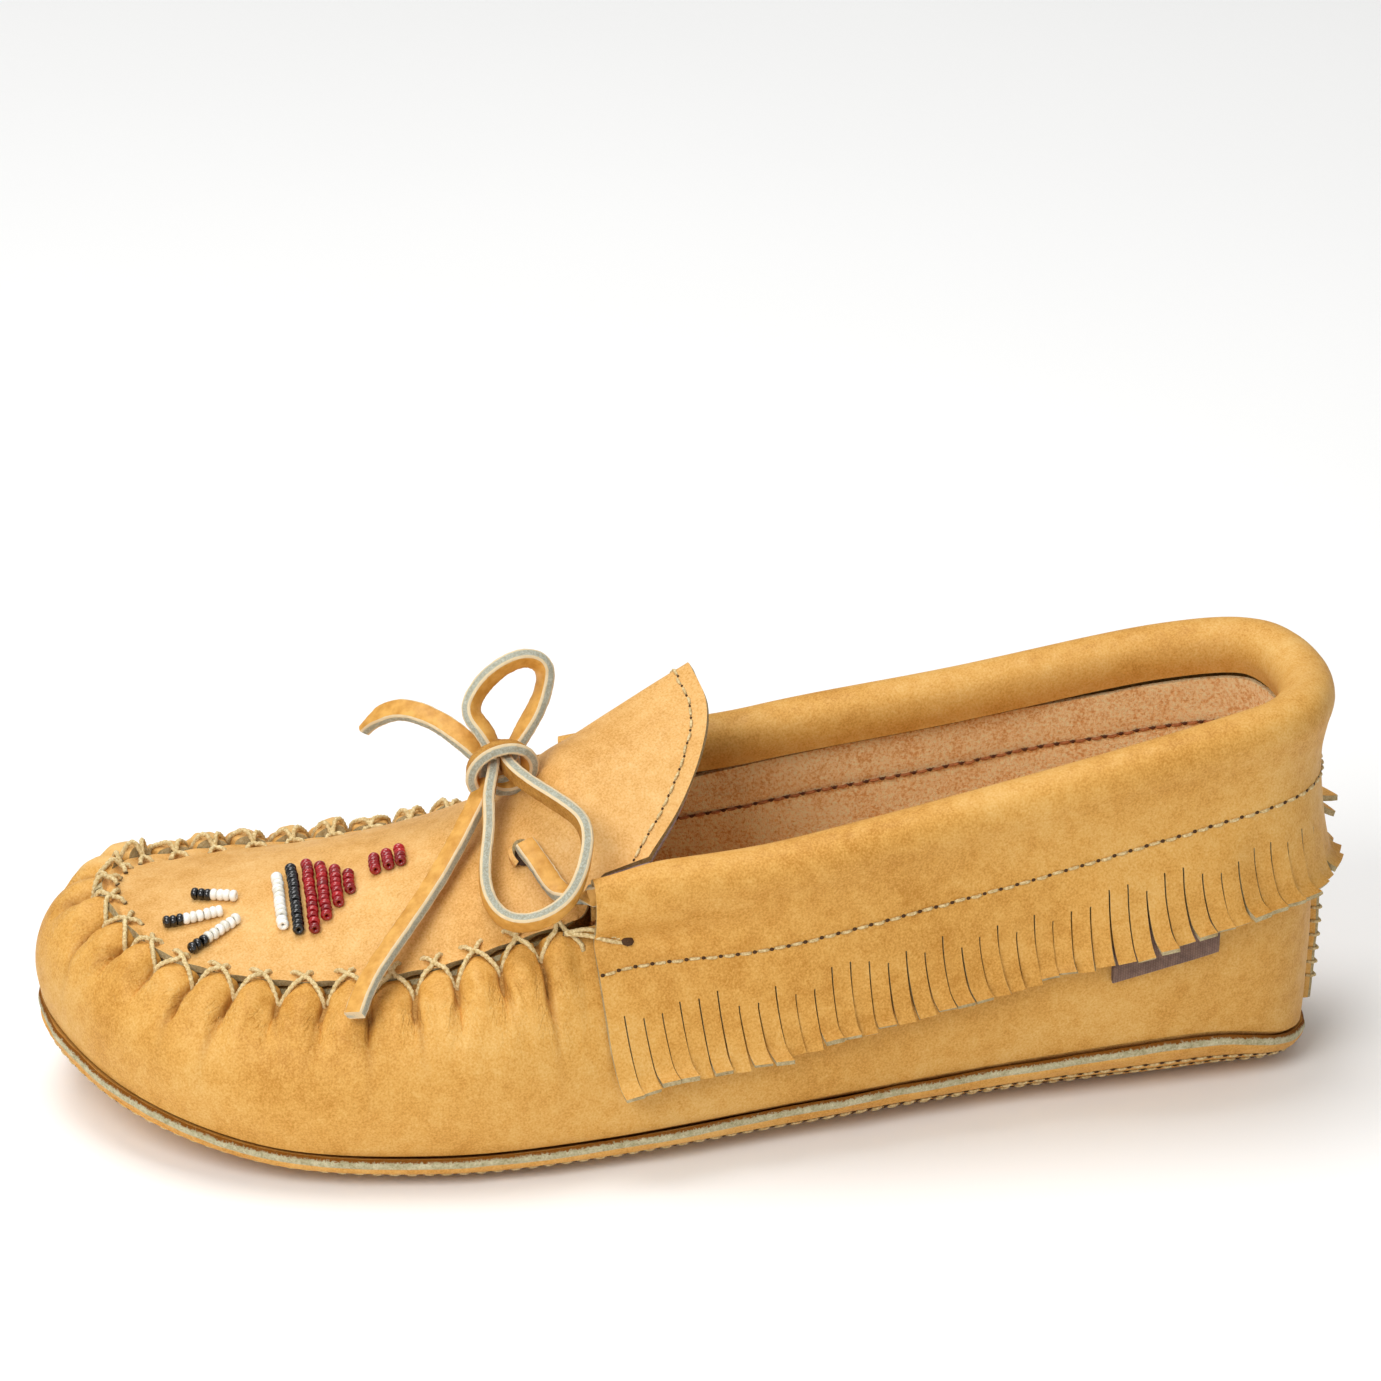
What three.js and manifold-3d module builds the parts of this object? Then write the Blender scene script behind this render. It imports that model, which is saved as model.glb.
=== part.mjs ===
// A moccasin for the left foot, in millimetres.
// The toe points along -Y, +X is the wearer's left (the shoe's outer side) and +Z is up.
// The sole rests on z = 0. Along the shoe, t is the distance from the heel's back towards the toe.
import * as THREE from "three";
import { mergeVertices } from "three/addons/utils/BufferGeometryUtils.js";
import Module from "manifold-3d";

const wasm = await Module();
wasm.setup();

// ---- Driving dimensions ----
const GAP = 0.3; // left between neighbouring pieces
const HEEL_Y = 123.1; // y of the heel's back
const MIDDLE_X = 2; // x of the outline's own axis, moved so that the box is centred
const SOLE_THICK = 3.2;
const SOLE_MARGIN = 14; // width of the sole's turned-up margin
const WRAP_THICK = 1.6;
const WRAP_UNDER = 9; // how far the wrap is turned in under the foot
const PLUG_THICK = 1.8;
const PLUG_STEP = 1; // the plug's raw edge stands this far above the wrap's edge
const TONGUE_LINING_THICK = 1;
const FOAM_THICK = 3;
const SOCK_THICK = 1.2;
const LINING_THICK = 1;
const COUNTER_THICK = 1.2;
const COLLAR_THICK = 1.2;
const WALL_BELOW_CREST = 8; // from the collar's crest down to the wall's top
const STITCH_BELOW_CREST = 20;
const SLIT_BELOW_CREST = 27; // where the fringe's slits end
const FRINGE_BELOW_CREST = 41; // the fringe's lower ends
const FRINGE_PITCH = 4.6;
const FRINGE_SLIT = 0.6;
const THROAT = 5; // outline station at the front of the shoe's opening
const COLLAR_END = 4.95; // outline station where the collar's front ends are
const TOE = 9; // outline station at the tip of the toe
const TOE_BELLY = 2.5; // the wall bellies out less round the toe than beside it
const PUCKERS = 13; // on each side, from the throat to the toe
const PUCKER_HEIGHT = 1.3;
const LACE_WIDTH = 4;
const LACE_THICK = 2.2;
const BEAD = 2.1; // pitch of the beads in a row

// Stations round the sole's upper edge: the heel's back, the outer side, the toe, the inner side.
// edge is the height of the sole's upper edge; inset and top place the wall's upper rim.
const OUTLINE = [
  { t: 0, x: 0, edge: 5, inset: 1, top: 72 },
  { t: 6, x: 20, edge: 8, inset: 1.5, top: 72.5 },
  { t: 26, x: 27, edge: 12, inset: 0.5, top: 70 },
  { t: 66, x: 31, edge: 10, inset: 1, top: 61.5 },
  { t: 106, x: 38.5, edge: 8.5, inset: 4, top: 54.5 },
  { t: 146, x: 46, edge: 7, inset: 15, top: 45 },
  { t: 178, x: 48, edge: 6.6, inset: 17, top: 37 },
  { t: 210, x: 42.5, edge: 8.2, inset: 16, top: 34.5 },
  { t: 236, x: 25.5, edge: 14, inset: 12.5, top: 37 },
  { t: 250, x: -3, edge: 20, inset: 13, top: 41 },
  { t: 241, x: -28, edge: 18, inset: 13, top: 39.5 },
  { t: 222, x: -39, edge: 13, inset: 13, top: 37.5 },
  { t: 190, x: -44, edge: 7.2, inset: 14, top: 37.5 },
  { t: 146, x: -39.5, edge: 7, inset: 10, top: 44 },
  { t: 106, x: -32, edge: 9, inset: 4, top: 54.5 },
  { t: 66, x: -30, edge: 10, inset: 2.5, top: 61 },
  { t: 26, x: -26, edge: 12, inset: 1, top: 69 },
  { t: 6, x: -19, edge: 8, inset: 1.5, top: 72 },
];
// Height of the plug's middle line, from the throat to the toe.
const PLUG_RIDGE = [
  { t: 146, z: 69.5 },
  { t: 160, z: 58.5 },
  { t: 170, z: 53 },
  { t: 185, z: 48 },
  { t: 200, z: 44.5 },
  { t: 226, z: 41 },
  { t: 240, z: 42 },
];
// The tongue's free edge, from its outer corner round to its inner corner.
const TONGUE_EDGE = [
  [25.5, 134, 56.5],
  [18, 127, 63.5],
  [9, 121.5, 71.5],
  [0, 119.5, 77],
  [-11, 121.5, 80.8],
  [-19, 122, 75.5],
  [-24, 126, 68],
];
const TONGUE_OUTER_X = 25.5; // the tongue's sides, clear of the collar
const TONGUE_INNER_X = -24;
const KNOT_CENTRE = [2, 160, 66.5];
const KNOT_RADII = [5.5, 6.5, 5.5];
const NEAR_LOOP = [
  [9.4, 163.5, 63.4], [12.8, 162.9, 60.6], [18.1, 164.2, 56.6], [25.1, 165.4, 51.4], [32, 162.5, 47.8],
  [35, 156.2, 48.8], [36, 150, 53.6], [34, 147, 60.6], [27.5, 146, 65], [19, 150.6, 66.2],
  [11, 156, 67.2],
];
const UPPER_LOOP = [
  [0, 162.5, 73.4], [-2.5, 165.4, 75.6], [-4.5, 163.9, 79.2], [-6, 159.3, 83.5], [-8, 153.4, 85],
  [-8.2, 149.6, 82.6], [-6.5, 150.4, 78], [-4, 152.4, 75], [-2, 154, 73.4],
];
const NEAR_TAIL = [
  [8, 165.6, 60.4], [10.8, 168, 57.4], [15, 171.4, 53.6], [21, 176.2, 49], [30, 184, 43], [38, 189.6, 39],
  [43, 192, 35.5],
];
const FAR_TAIL = [
  [-3.6, 166.8, 70.4], [-6, 169.2, 71.8], [-9.5, 173.2, 73], [-13, 177.6, 73], [-15.5, 181.5, 70.8],
  [-17, 184.6, 67],
];
const NEAR_STRAND = [[31.5, 148.4, 51.5], [27.5, 151.5, 51.6], [23, 154.5, 55], [18.5, 157, 57.6]];
const FAR_STRAND = [[-30.5, 149, 51.5], [-27.5, 151.5, 52], [-23, 154.5, 55.2], [-18.5, 157, 57.7]];

// ---- Small helpers ----
const clamp01 = (value) => Math.min(1, Math.max(0, value));
const mix = (a, b, w) => a + (b - a) * w;
const smooth = (from, to, value) => {
  const w = clamp01((value - from) / (to - from));
  return w * w * (3 - 2 * w);
};
const range = (from, to, count) =>
  Array.from({ length: count + 1 }, (_, i) => mix(from, to, i / count));
const place = (x, t, z) => new THREE.Vector3(x - MIDDLE_X, HEEL_Y - t, z);
const placeAll = (points) => points.map(([x, t, z]) => place(x, t, z));

// Catmull-Rom value through four samples.
function catmullRom(a, b, c, d, w) {
  const w2 = w * w;
  const w3 = w2 * w;
  const bend = (2 * a - 5 * b + 4 * c - d) * w2 + (3 * b - a - 3 * c + d) * w3;
  return 0.5 * (2 * b + (c - a) * w + bend);
}

// A field of the outline at any station, the outline being closed; a negative station is the inner side.
function outlineValue(station, field) {
  const count = OUTLINE.length;
  const low = Math.floor(station);
  const [a, b, c, d] = [-1, 0, 1, 2].map((k) => OUTLINE[(low + k + 2 * count) % count][field]);
  return catmullRom(a, b, c, d, station - low);
}

// Height of a list of { t, z } points at t.
function heightAlong(points, t) {
  const last = points.length - 1;
  const found = points.findIndex((p) => p.t > t);
  const i = Math.max(0, (found < 0 ? last : found) - 1);
  const at = (k) => points[Math.min(last, Math.max(0, k))].z;
  const w = clamp01((t - points[i].t) / (points[i + 1].t - points[i].t));
  return catmullRom(at(i - 1), at(i), at(i + 1), at(i + 2), w);
}

// ---- Solids from sections and grids ----
// Closes a list of triangles into a clean geometry whose faces point out.
function closedGeometry(points, triangles) {
  const geometry = new THREE.BufferGeometry().setFromPoints(points);
  geometry.setIndex(triangles.flat());
  return facingOut(mergeVertices(geometry, 1e-4));
}

function facingOut(geometry) {
  const p = geometry.attributes.position;
  const index = geometry.index.array;
  const corner = (k) => new THREE.Vector3().fromBufferAttribute(p, index[k]);
  let volume = 0;
  for (let i = 0; i < index.length; i += 3) {
    volume += corner(i).dot(corner(i + 1).cross(corner(i + 2)));
  }
  if (volume < 0) {
    for (let i = 0; i < index.length; i += 3) {
      [index[i + 1], index[i + 2]] = [index[i + 2], index[i + 1]];
    }
  }
  return geometry;
}

const quad = (a, b, c, d) => [[a, b, c], [a, c, d]];

const UP = new THREE.Vector3(0, 0, 1);
const ALONG_X = new THREE.Vector3(1, 0, 0);

// A solid through equal sections, each a closed outline of the same number of points.
// Open ends are capped with the triangles that cap, a flat drawing of the section, gives.
function loft(sections, cap) {
  const count = sections[0].length;
  const triangles = [];
  const spans = cap ? sections.length - 1 : sections.length;
  for (let i = 0; i < spans; i++) {
    const next = (i + 1) % sections.length;
    for (let k = 0; k < count; k++) {
      const k2 = (k + 1) % count;
      triangles.push(...quad(i * count + k, i * count + k2, next * count + k2, next * count + k));
    }
  }
  if (cap) {
    const end = (sections.length - 1) * count;
    for (const [a, b, c] of THREE.ShapeUtils.triangulateShape(cap, [])) {
      triangles.push([c, b, a], [end + a, end + b, end + c]);
    }
  }
  return closedGeometry(sections.flat(), triangles);
}

// A cap drawing whose outline turns the same way as the loft's own index order.
const capOf = (pairs) => pairs.map(([a, b]) => new THREE.Vector2(a, b));

// A plate between two equal grids of points.
function plate(upper, lower) {
  const rows = upper.length;
  const columns = upper[0].length;
  const points = [...upper.flat(), ...lower.flat()];
  const at = (side, i, j) => side * rows * columns + i * columns + j;
  const triangles = [];
  for (let i = 0; i + 1 < rows; i++) {
    for (let j = 0; j + 1 < columns; j++) {
      triangles.push(...quad(at(0, i, j), at(0, i + 1, j), at(0, i + 1, j + 1), at(0, i, j + 1)));
      triangles.push(...quad(at(1, i, j + 1), at(1, i + 1, j + 1), at(1, i + 1, j), at(1, i, j)));
    }
  }
  for (let j = 0; j + 1 < columns; j++) {
    triangles.push(...quad(at(0, 0, j), at(0, 0, j + 1), at(1, 0, j + 1), at(1, 0, j)));
    const end = rows - 1;
    triangles.push(...quad(at(0, end, j + 1), at(0, end, j), at(1, end, j), at(1, end, j + 1)));
  }
  for (let i = 0; i + 1 < rows; i++) {
    const end = columns - 1;
    triangles.push(...quad(at(0, i + 1, 0), at(0, i, 0), at(1, i, 0), at(1, i + 1, 0)));
    triangles.push(...quad(at(0, i, end), at(0, i + 1, end), at(1, i + 1, end), at(1, i, end)));
  }
  const proper = triangles.filter(([a, b, c]) => !samePoint(points, a, b, c));
  return closedGeometry(points, proper);
}

function samePoint(points, a, b, c) {
  const near = (i, j) => points[i].distanceTo(points[j]) < 1e-4;
  return near(a, b) || near(b, c) || near(a, c);
}

// A solid disc through rings, from the middle of its upper face over the rim to its lower face.
// Each ring starts at the heel and has the toe at its middle, so its halves join like a ladder.
function disc(rings) {
  const count = rings[0].length;
  const half = count / 2;
  const triangles = [];
  for (let r = 0; r + 1 < rings.length; r++) {
    for (let k = 0; k < count; k++) {
      const k2 = (k + 1) % count;
      triangles.push(
        ...quad(r * count + k, r * count + k2, (r + 1) * count + k2, (r + 1) * count + k),
      );
    }
  }
  const ladder = [[0, count - 1, 1], [half, half - 1, half + 1]];
  for (let k = 1; k + 1 < half; k++) {
    ladder.push(...quad(k, count - k, count - k - 1, k + 1));
  }
  const last = (rings.length - 1) * count;
  for (const [a, b, c] of ladder) {
    triangles.push([a, b, c], [last + c, last + b, last + a]);
  }
  return closedGeometry(rings.flat(), triangles);
}

// A route that ExtrudeGeometry follows from point to point. One side of the section is kept along a hint;
// with no hint, the section is carried along without a twist.
class Strand extends THREE.Curve {
  constructor(points, hint) {
    super();
    this.points = points;
    this.hint = hint;
  }
  getSpacedPoints() {
    return this.points;
  }
  hintAt(i, normals) {
    if (Array.isArray(this.hint)) return this.hint[i];
    return this.hint ?? normals[i - 1] ?? UP;
  }
  computeFrenetFrames() {
    const last = this.points.length - 1;
    const tangents = this.points.map((_, i) => {
      const ahead = this.points[Math.min(last, i + 1)];
      return ahead.clone().sub(this.points[Math.max(0, i - 1)]).normalize();
    });
    const normals = [];
    tangents.forEach((tangent, i) => {
      const hint = this.hintAt(i, normals);
      normals.push(hint.clone().addScaledVector(tangent, -hint.dot(tangent)).normalize());
    });
    const binormals = tangents.map((tangent, i) => tangent.clone().cross(normals[i]));
    return { tangents, normals, binormals };
  }
}

function extrudeAlong(points, hint, section) {
  const geometry = new THREE.ExtrudeGeometry(new THREE.Shape(section), {
    steps: points.length - 1,
    bevelEnabled: false,
    extrudePath: new Strand(points, hint),
  });
  geometry.deleteAttribute("normal");
  geometry.deleteAttribute("uv");
  return facingOut(mergeVertices(geometry, 1e-4));
}

function roundSection(radius, sides) {
  return range(0, 2 * Math.PI, sides)
    .slice(0, sides)
    .map((angle) => new THREE.Vector2(radius * Math.cos(angle), radius * Math.sin(angle)));
}

// The lace's section: a flat thong with its eight corners eased.
function laceSection() {
  const [w, h, ease] = [LACE_WIDTH / 2, LACE_THICK / 2, 0.5];
  const corners = [[w, h - ease], [w - ease, h], [ease - w, h], [-w, h - ease]];
  const mirrored = corners.map(([a, b]) => [-a, -b]);
  return [...corners, ...mirrored].map(([a, b]) => new THREE.Vector2(a, b));
}

const thread = (points, radius, sides = 5) =>
  extrudeAlong(points, undefined, roundSection(radius, sides));

const smoothPath = (points, steps) => new THREE.CatmullRomCurve3(points).getPoints(steps);

const lace = (points, steps, hint) => extrudeAlong(smoothPath(points, steps), hint, laceSection());

const WAIST = 0.55; // a bead row's narrow places, as a share of a bead's radius

// A row of round beads on one thread, as a rod that swells at each bead.
function beadRow(points, radius) {
  const sides = 5;
  const sections = points.map((point, i) => {
    const ahead = points[Math.min(points.length - 1, i + 1)];
    const tangent = ahead.clone().sub(points[Math.max(0, i - 1)]).normalize();
    const up = UP.clone().addScaledVector(tangent, -tangent.z).normalize();
    const across = tangent.clone().cross(up);
    return roundSection(i % 2 ? radius : radius * WAIST, sides).map((corner) =>
      point.clone().addScaledVector(across, corner.x).addScaledVector(up, corner.y));
  });
  return loft(sections, roundSection(radius, sides));
}

// Joins closed geometries into one solid.
function joined(parts) {
  const solidOf = (geometry) =>
    new wasm.Manifold(new wasm.Mesh({
      numProp: 3,
      vertProperties: new Float32Array(geometry.attributes.position.array),
      triVerts: new Uint32Array(geometry.index.array),
    }));
  const whole = parts.map(solidOf).reduce((sum, part) => sum.add(part)).getMesh();
  const geometry = new THREE.BufferGeometry();
  geometry.setAttribute("position", new THREE.BufferAttribute(whole.vertProperties, 3));
  geometry.setIndex(Array.from(whole.triVerts));
  return geometry;
}

// ---- The shoe's surfaces ----
// Outward direction of the outline in plan, as { x, t }.
function outlineNormal(station) {
  const step = 0.01;
  const dx = outlineValue(station + step, "x") - outlineValue(station - step, "x");
  const dt = outlineValue(station + step, "t") - outlineValue(station - step, "t");
  const length = Math.hypot(dx, dt);
  return { x: dt / length, t: -dx / length };
}

// A point at a station, out beyond the sole's edge by out (inside when negative), at height z.
function beside(station, out, z) {
  const normal = outlineNormal(station);
  const x = outlineValue(station, "x") + normal.x * out;
  const t = outlineValue(station, "t") + normal.t * out;
  return place(x, t, z);
}

// How far a point is out from the outline at its station.
function outOf(s, point) {
  const normal = outlineNormal(s);
  const dx = point.x + MIDDLE_X - outlineValue(s, "x");
  const dt = HEEL_Y - point.y - outlineValue(s, "t");
  return dx * normal.x + dt * normal.t;
}

// Stations from the heel's back: the outer side counts up from 0, the inner side down from 18.
const fromHeel = (station) => Math.min(Math.abs(station), Math.abs(OUTLINE.length - station));

// Height of the sole's underside away from its turned-up margin: flat, then the toe's spring.
function springAt(t) {
  const ballT = 175;
  const rise = 13;
  return rise * clamp01((t - ballT) / 75) ** 1.7;
}

// Height of the sole's underside at a distance inside its edge.
function underside(station, inside) {
  const normal = outlineNormal(station);
  const base = springAt(outlineValue(station, "t") - normal.t * inside);
  const margin = outlineValue(station, "edge") - SOLE_THICK - springAt(outlineValue(station, "t"));
  return base + margin * clamp01(1 - inside / SOLE_MARGIN) ** 2;
}

const soleTop = (station, inside) => underside(station, inside) + SOLE_THICK;

// How much a section of the wall is the gathered forefoot's (1) rather than the upright quarter's (0).
const forefoot = (station) => smooth(4.3, 5.7, fromHeel(station));

// Bezier handles of the wall's section, as [out, z] pairs from the sole's edge to the rim.
function wallHandles(station) {
  const w = forefoot(station);
  const edge = outlineValue(station, "edge") + 0.35;
  const top = outlineValue(station, "top");
  const inset = outlineValue(station, "inset");
  const height = top - edge;
  const quarterBelly = mix(1.5, 4.5, smooth(0, 2, fromHeel(station)));
  const forefootBelly = mix(7, TOE_BELLY, smooth(7, 8.7, fromHeel(station)));
  const belly = [mix(quarterBelly, forefootBelly, w), edge + height * mix(0.4, 0.72, w)];
  const shoulder = [mix(1.5 - inset, -0.4 * inset, w), top - height * mix(0.35, 0.04, w)];
  return [[-0.4, edge], belly, shoulder, [-inset, top]];
}

// A point of the wall's outer surface, v from 0 at the sole to 1 at the rim, moved out by off.
function wallAt(station, v, off = 0) {
  const handles = wallHandles(station);
  const blend = (k) => {
    const [a, b, c, d] = handles.map((h) => h[k]);
    const u = 1 - v;
    return u * u * u * a + 3 * u * u * v * b + 3 * u * v * v * c + v * v * v * d;
  };
  const slope = (k) => {
    const [a, b, c, d] = handles.map((h) => h[k]);
    const u = 1 - v;
    return 3 * u * u * (b - a) + 6 * u * v * (c - b) + 3 * v * v * (d - c);
  };
  const length = Math.hypot(slope(0), slope(1));
  const out = blend(0) + (off * slope(1)) / length;
  const z = blend(1) - (off * slope(0)) / length;
  return beside(station, out, z);
}

// The v of the wall's surface at a height.
function wallV(station, z) {
  let [low, high] = [0, 1];
  for (let i = 0; i < 24; i++) {
    const middle = (low + high) / 2;
    if (wallAt(station, middle).z < z) low = middle;
    else high = middle;
  }
  return (low + high) / 2;
}

const wallAtHeight = (station, z, off = 0) => wallAt(station, wallV(station, z), off);

// The collar's crest; it stands higher above the rim at the throat.
function crestAt(station) {
  const rise = 4 * smooth(4, THROAT, fromHeel(station));
  return outlineValue(station, "top") + WALL_BELOW_CREST + rise;
}

// Stations evenly spaced along a curve.
function evenStations(curve, from, to, count) {
  const fine = range(from, to, 600);
  const lengths = [0];
  for (let i = 1; i < fine.length; i++) {
    lengths.push(lengths[i - 1] + curve(fine[i]).distanceTo(curve(fine[i - 1])));
  }
  const total = lengths[lengths.length - 1];
  const stations = range(0, total, count).map((wanted) => {
    const found = lengths.findIndex((length) => length >= wanted);
    const i = Math.max(1, found < 0 ? fine.length - 1 : found);
    return mix(fine[i - 1], fine[i], (wanted - lengths[i - 1]) / (lengths[i] - lengths[i - 1]));
  });
  return { stations, total };
}

const FINE = 3; // samples in each gather of the fine ring
const QUARTER_SAMPLES = 3 * THROAT; // samples from the heel's back to the throat

// Stations of one half of the shoe, heel to toe, with steps samples in each pucker.
function halfStations(inner, steps) {
  const side = inner ? -1 : 1;
  const quarter = range(0, THROAT, QUARTER_SAMPLES).slice(0, -1).map((s) => s * side);
  const rim = (s) => wallAt(s, 1);
  const gathered = evenStations(rim, THROAT * side, TOE * side, PUCKERS * steps).stations;
  return [...quarter, ...gathered];
}

// Stations of the whole ring, with the toe at its middle.
function ringStations(steps) {
  return [...halfStations(false, steps), ...halfStations(true, steps).slice(1, -1).reverse()];
}

// Seam position of a sample of the fine ring, in puckers from the throat; 0 along the opening.
function puckerPhase(ringIndex, ringCount) {
  const fromEnd = Math.min(ringIndex, ringCount - ringIndex);
  return Math.max(0, (fromEnd - QUARTER_SAMPLES) / FINE);
}

// Height of the gathers at a phase and a place up the wall: high between two stitches.
function puckerRise(phase, v) {
  const wave = 0.5 - 0.5 * Math.cos(2 * Math.PI * phase);
  const upWall = smooth(0.45, 0.82, v) * (1 - 0.6 * smooth(0.92, 1, v));
  return PUCKER_HEIGHT * wave * upWall * smooth(0, 1, phase);
}

const COARSE_RING = ringStations(1);
const SOLE_RING = ringStations(2);
const FINE_RING = ringStations(FINE);

// A ring at a distance inside the sole's edge, its height from a function of station and distance.
const ringAt = (inside, height, ring = COARSE_RING) =>
  ring.map((s) => beside(s, -inside, height(s, inside)));

// Distances inside the sole's edge at which the sole's upper face and the wrap on it are both measured.
const UNDER_WRAP = [WRAP_UNDER, 4.5, 1.5];

// ---- Sole ----
function outsole() {
  const onTop = UNDER_WRAP.map((inside) => ringAt(inside, soleTop, SOLE_RING));
  const below = [0.5, 4, 8, SOLE_MARGIN].map((inside) => ringAt(inside, underside, SOLE_RING));
  const rim = [SOLE_MARGIN, 0.3].map((inside) => ringAt(inside, soleTop, SOLE_RING));
  return disc([rim[0], ...onTop, rim[1], ...below]);
}

// A row of stitching under the sole's margin, as one thread that starts and ends at the heel.
function soleThread(inside) {
  const radius = 0.35;
  const row = SOLE_RING.map((s) =>
    beside(s, -inside, underside(s, inside) - GAP - radius));
  return thread(row.slice(1), radius, 4);
}

// Height above the sole's upper face of a layer that lies over the wrap's turned-in margin.
const OVER_WRAP = GAP + WRAP_THICK + 0.45;
const LAYER_INSET = 4.4; // how far the foam and the sock stay inside the sole's edge

// ---- Upper ----
function wrapSection(station, phase) {
  const outer = [0, 0.25, 0.5, 0.7, 0.87, 1].map((v) =>
    wallAt(station, v, puckerRise(phase, v)));
  const inner = [1, 0.75, 0.5, 0.25, 0.07].map((v) => wallAt(station, v, -WRAP_THICK));
  const under = (inside, lift) => beside(station, -inside, soleTop(station, inside) + GAP + 0.1 + lift);
  const turnedIn = [under(4.5, WRAP_THICK), under(WRAP_UNDER, WRAP_THICK)];
  return [...outer, ...inner, ...turnedIn, ...UNDER_WRAP.map((inside) => under(inside, 0))];
}

// The raised back seam, where the wrap's two ends are sewn together and stand out.
const FLANGE_LOW = 8;
const FLANGE_HIGH = 36;
const FLANGE_HALF = 1.7;
const FLANGE_DEPTH = 2.8;
const flangeHeights = range(FLANGE_LOW, FLANGE_HIGH, 6);

function heelFlange() {
  const corner = (z, side, off) => {
    const point = wallAtHeight(0, z, off);
    point.x += side * FLANGE_HALF;
    return new THREE.Vector3(point.x, point.y, z);
  };
  const sections = flangeHeights.map((z) => [
    corner(z, -1, -0.8), corner(z, 1, -0.8), corner(z, 1, FLANGE_DEPTH), corner(z, -1, FLANGE_DEPTH),
  ]);
  return loft(sections, capOf([[0, 0], [1, 0], [1, 1], [0, 1]]));
}

function wrapUpper() {
  const sections = FINE_RING.map((s, i) => wrapSection(s, puckerPhase(i, FINE_RING.length)));
  return joined([loft(sections), heelFlange()]);
}

// The whip stitch over the back seam: out along one side, round the raw edge and back, level by level.
function heelSeamThread() {
  const radius = 0.5;
  const side = FLANGE_HALF + GAP + radius;
  const levels = range(FLANGE_LOW + 2, FLANGE_HIGH - 2, 8);
  const at = (z, sign, off) => {
    const point = wallAtHeight(0, z, off);
    return new THREE.Vector3(point.x + sign * side, point.y, z);
  };
  const points = levels.flatMap((z, k) => {
    const first = k % 2 ? 1 : -1;
    const over = FLANGE_DEPTH + GAP + radius + 0.2;
    return [at(z, first, 1.2), at(z, first, over), at(z, -first, over), at(z, -first, 1.2)];
  });
  return thread(points, radius);
}

// Depth of the lining's outer face inside the wall: deeper round the heel, to leave room for the counter.
const LAYER_GAP = 0.7; // between the curved layers of the quarter
const liningDepth = (station) =>
  WRAP_THICK + LAYER_GAP + (COUNTER_THICK + LAYER_GAP) * (1 - smooth(2.2, 2.7, Math.abs(station)));

// A band inside the wall along the opening, between two heights, from depth to depth plus thick.
function wallBand(end, count, low, high, depth, thick) {
  const rows = 5;
  const sections = range(end, -end, count).map((s) => {
    const levels = range(low(s), high(s), rows);
    const face = (inner) => levels.map((z) => wallAtHeight(s, z, -depth(s) - (inner ? thick : 0)));
    return [...face(false), ...face(true).reverse()];
  });
  const flat = [...range(0, rows, rows).map((z) => [1, z]), ...range(rows, 0, rows).map((z) => [0, z])];
  return loft(sections, capOf(flat));
}

function heelCounter() {
  const low = (s) => Math.max(outlineValue(s, "edge") + 5, 13);
  return wallBand(1.8, 14, low, () => 50, () => WRAP_THICK + LAYER_GAP, COUNTER_THICK);
}

const LINING_BELOW_CREST = 12;
const LINING_END = 4.8;
const liningHigh = (s) => crestAt(s) - LINING_BELOW_CREST - 3 * smooth(4, THROAT, fromHeel(s));

function quarterLining() {
  const low = (s) => soleTop(s, LAYER_INSET) + OVER_WRAP + FOAM_THICK + GAP + SOCK_THICK + 1;
  return wallBand(LINING_END, 30, low, liningHigh, liningDepth, LINING_THICK);
}

function liningThread() {
  const radius = 0.4;
  const route = range(4.6, -4.6, 40).map((s) =>
    wallAtHeight(s, crestAt(s) - STITCH_BELOW_CREST, -liningDepth(s) - LINING_THICK - GAP - radius - 0.15));
  return thread(route, radius);
}

// ---- Inside the sole ----
function insoleFoam() {
  const above = (lift) => (s, inside) => soleTop(s, inside) + lift;
  return disc([
    ringAt(WRAP_UNDER + 1, above(OVER_WRAP + FOAM_THICK)),
    ringAt(LAYER_INSET, above(OVER_WRAP + FOAM_THICK)),
    ringAt(LAYER_INSET, above(OVER_WRAP)),
    ringAt(WRAP_UNDER + 0.4, above(OVER_WRAP)),
    ringAt(WRAP_UNDER + 1, above(GAP + 0.2)),
  ]);
}

function insoleSock() {
  const low = OVER_WRAP + FOAM_THICK + GAP + 0.15;
  const above = (lift) => (s, inside) => soleTop(s, inside) + lift;
  return disc([
    ringAt(WRAP_UNDER + 1, above(low + SOCK_THICK)),
    ringAt(LAYER_INSET, above(low + SOCK_THICK)),
    ringAt(LAYER_INSET, above(low)),
    ringAt(WRAP_UNDER + 1, above(low)),
  ]);
}

// ---- Plug, the gathered seam and the tongue ----
const PLUG_ROWS = 18;
const PLUG_COLUMNS = 6;

// A point over the forefoot between an outer and an inner seam point, w from 0 to 1 across.
function arched(outer, inner, w) {
  const point = outer.clone().lerp(inner, w);
  const middle = outer.clone().lerp(inner, 0.5);
  const t = HEEL_Y - middle.y;
  const crown = Math.max(0, heightAlong(PLUG_RIDGE, t) - middle.z);
  point.z += crown * (1 - (2 * w - 1) ** 2);
  return point;
}

const seamPoint = (station) => {
  const rim = outOf(station, wallAt(station, 1, -WRAP_THICK));
  return beside(station, rim - GAP - 0.1, outlineValue(station, "top") + PLUG_STEP);
};

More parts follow.
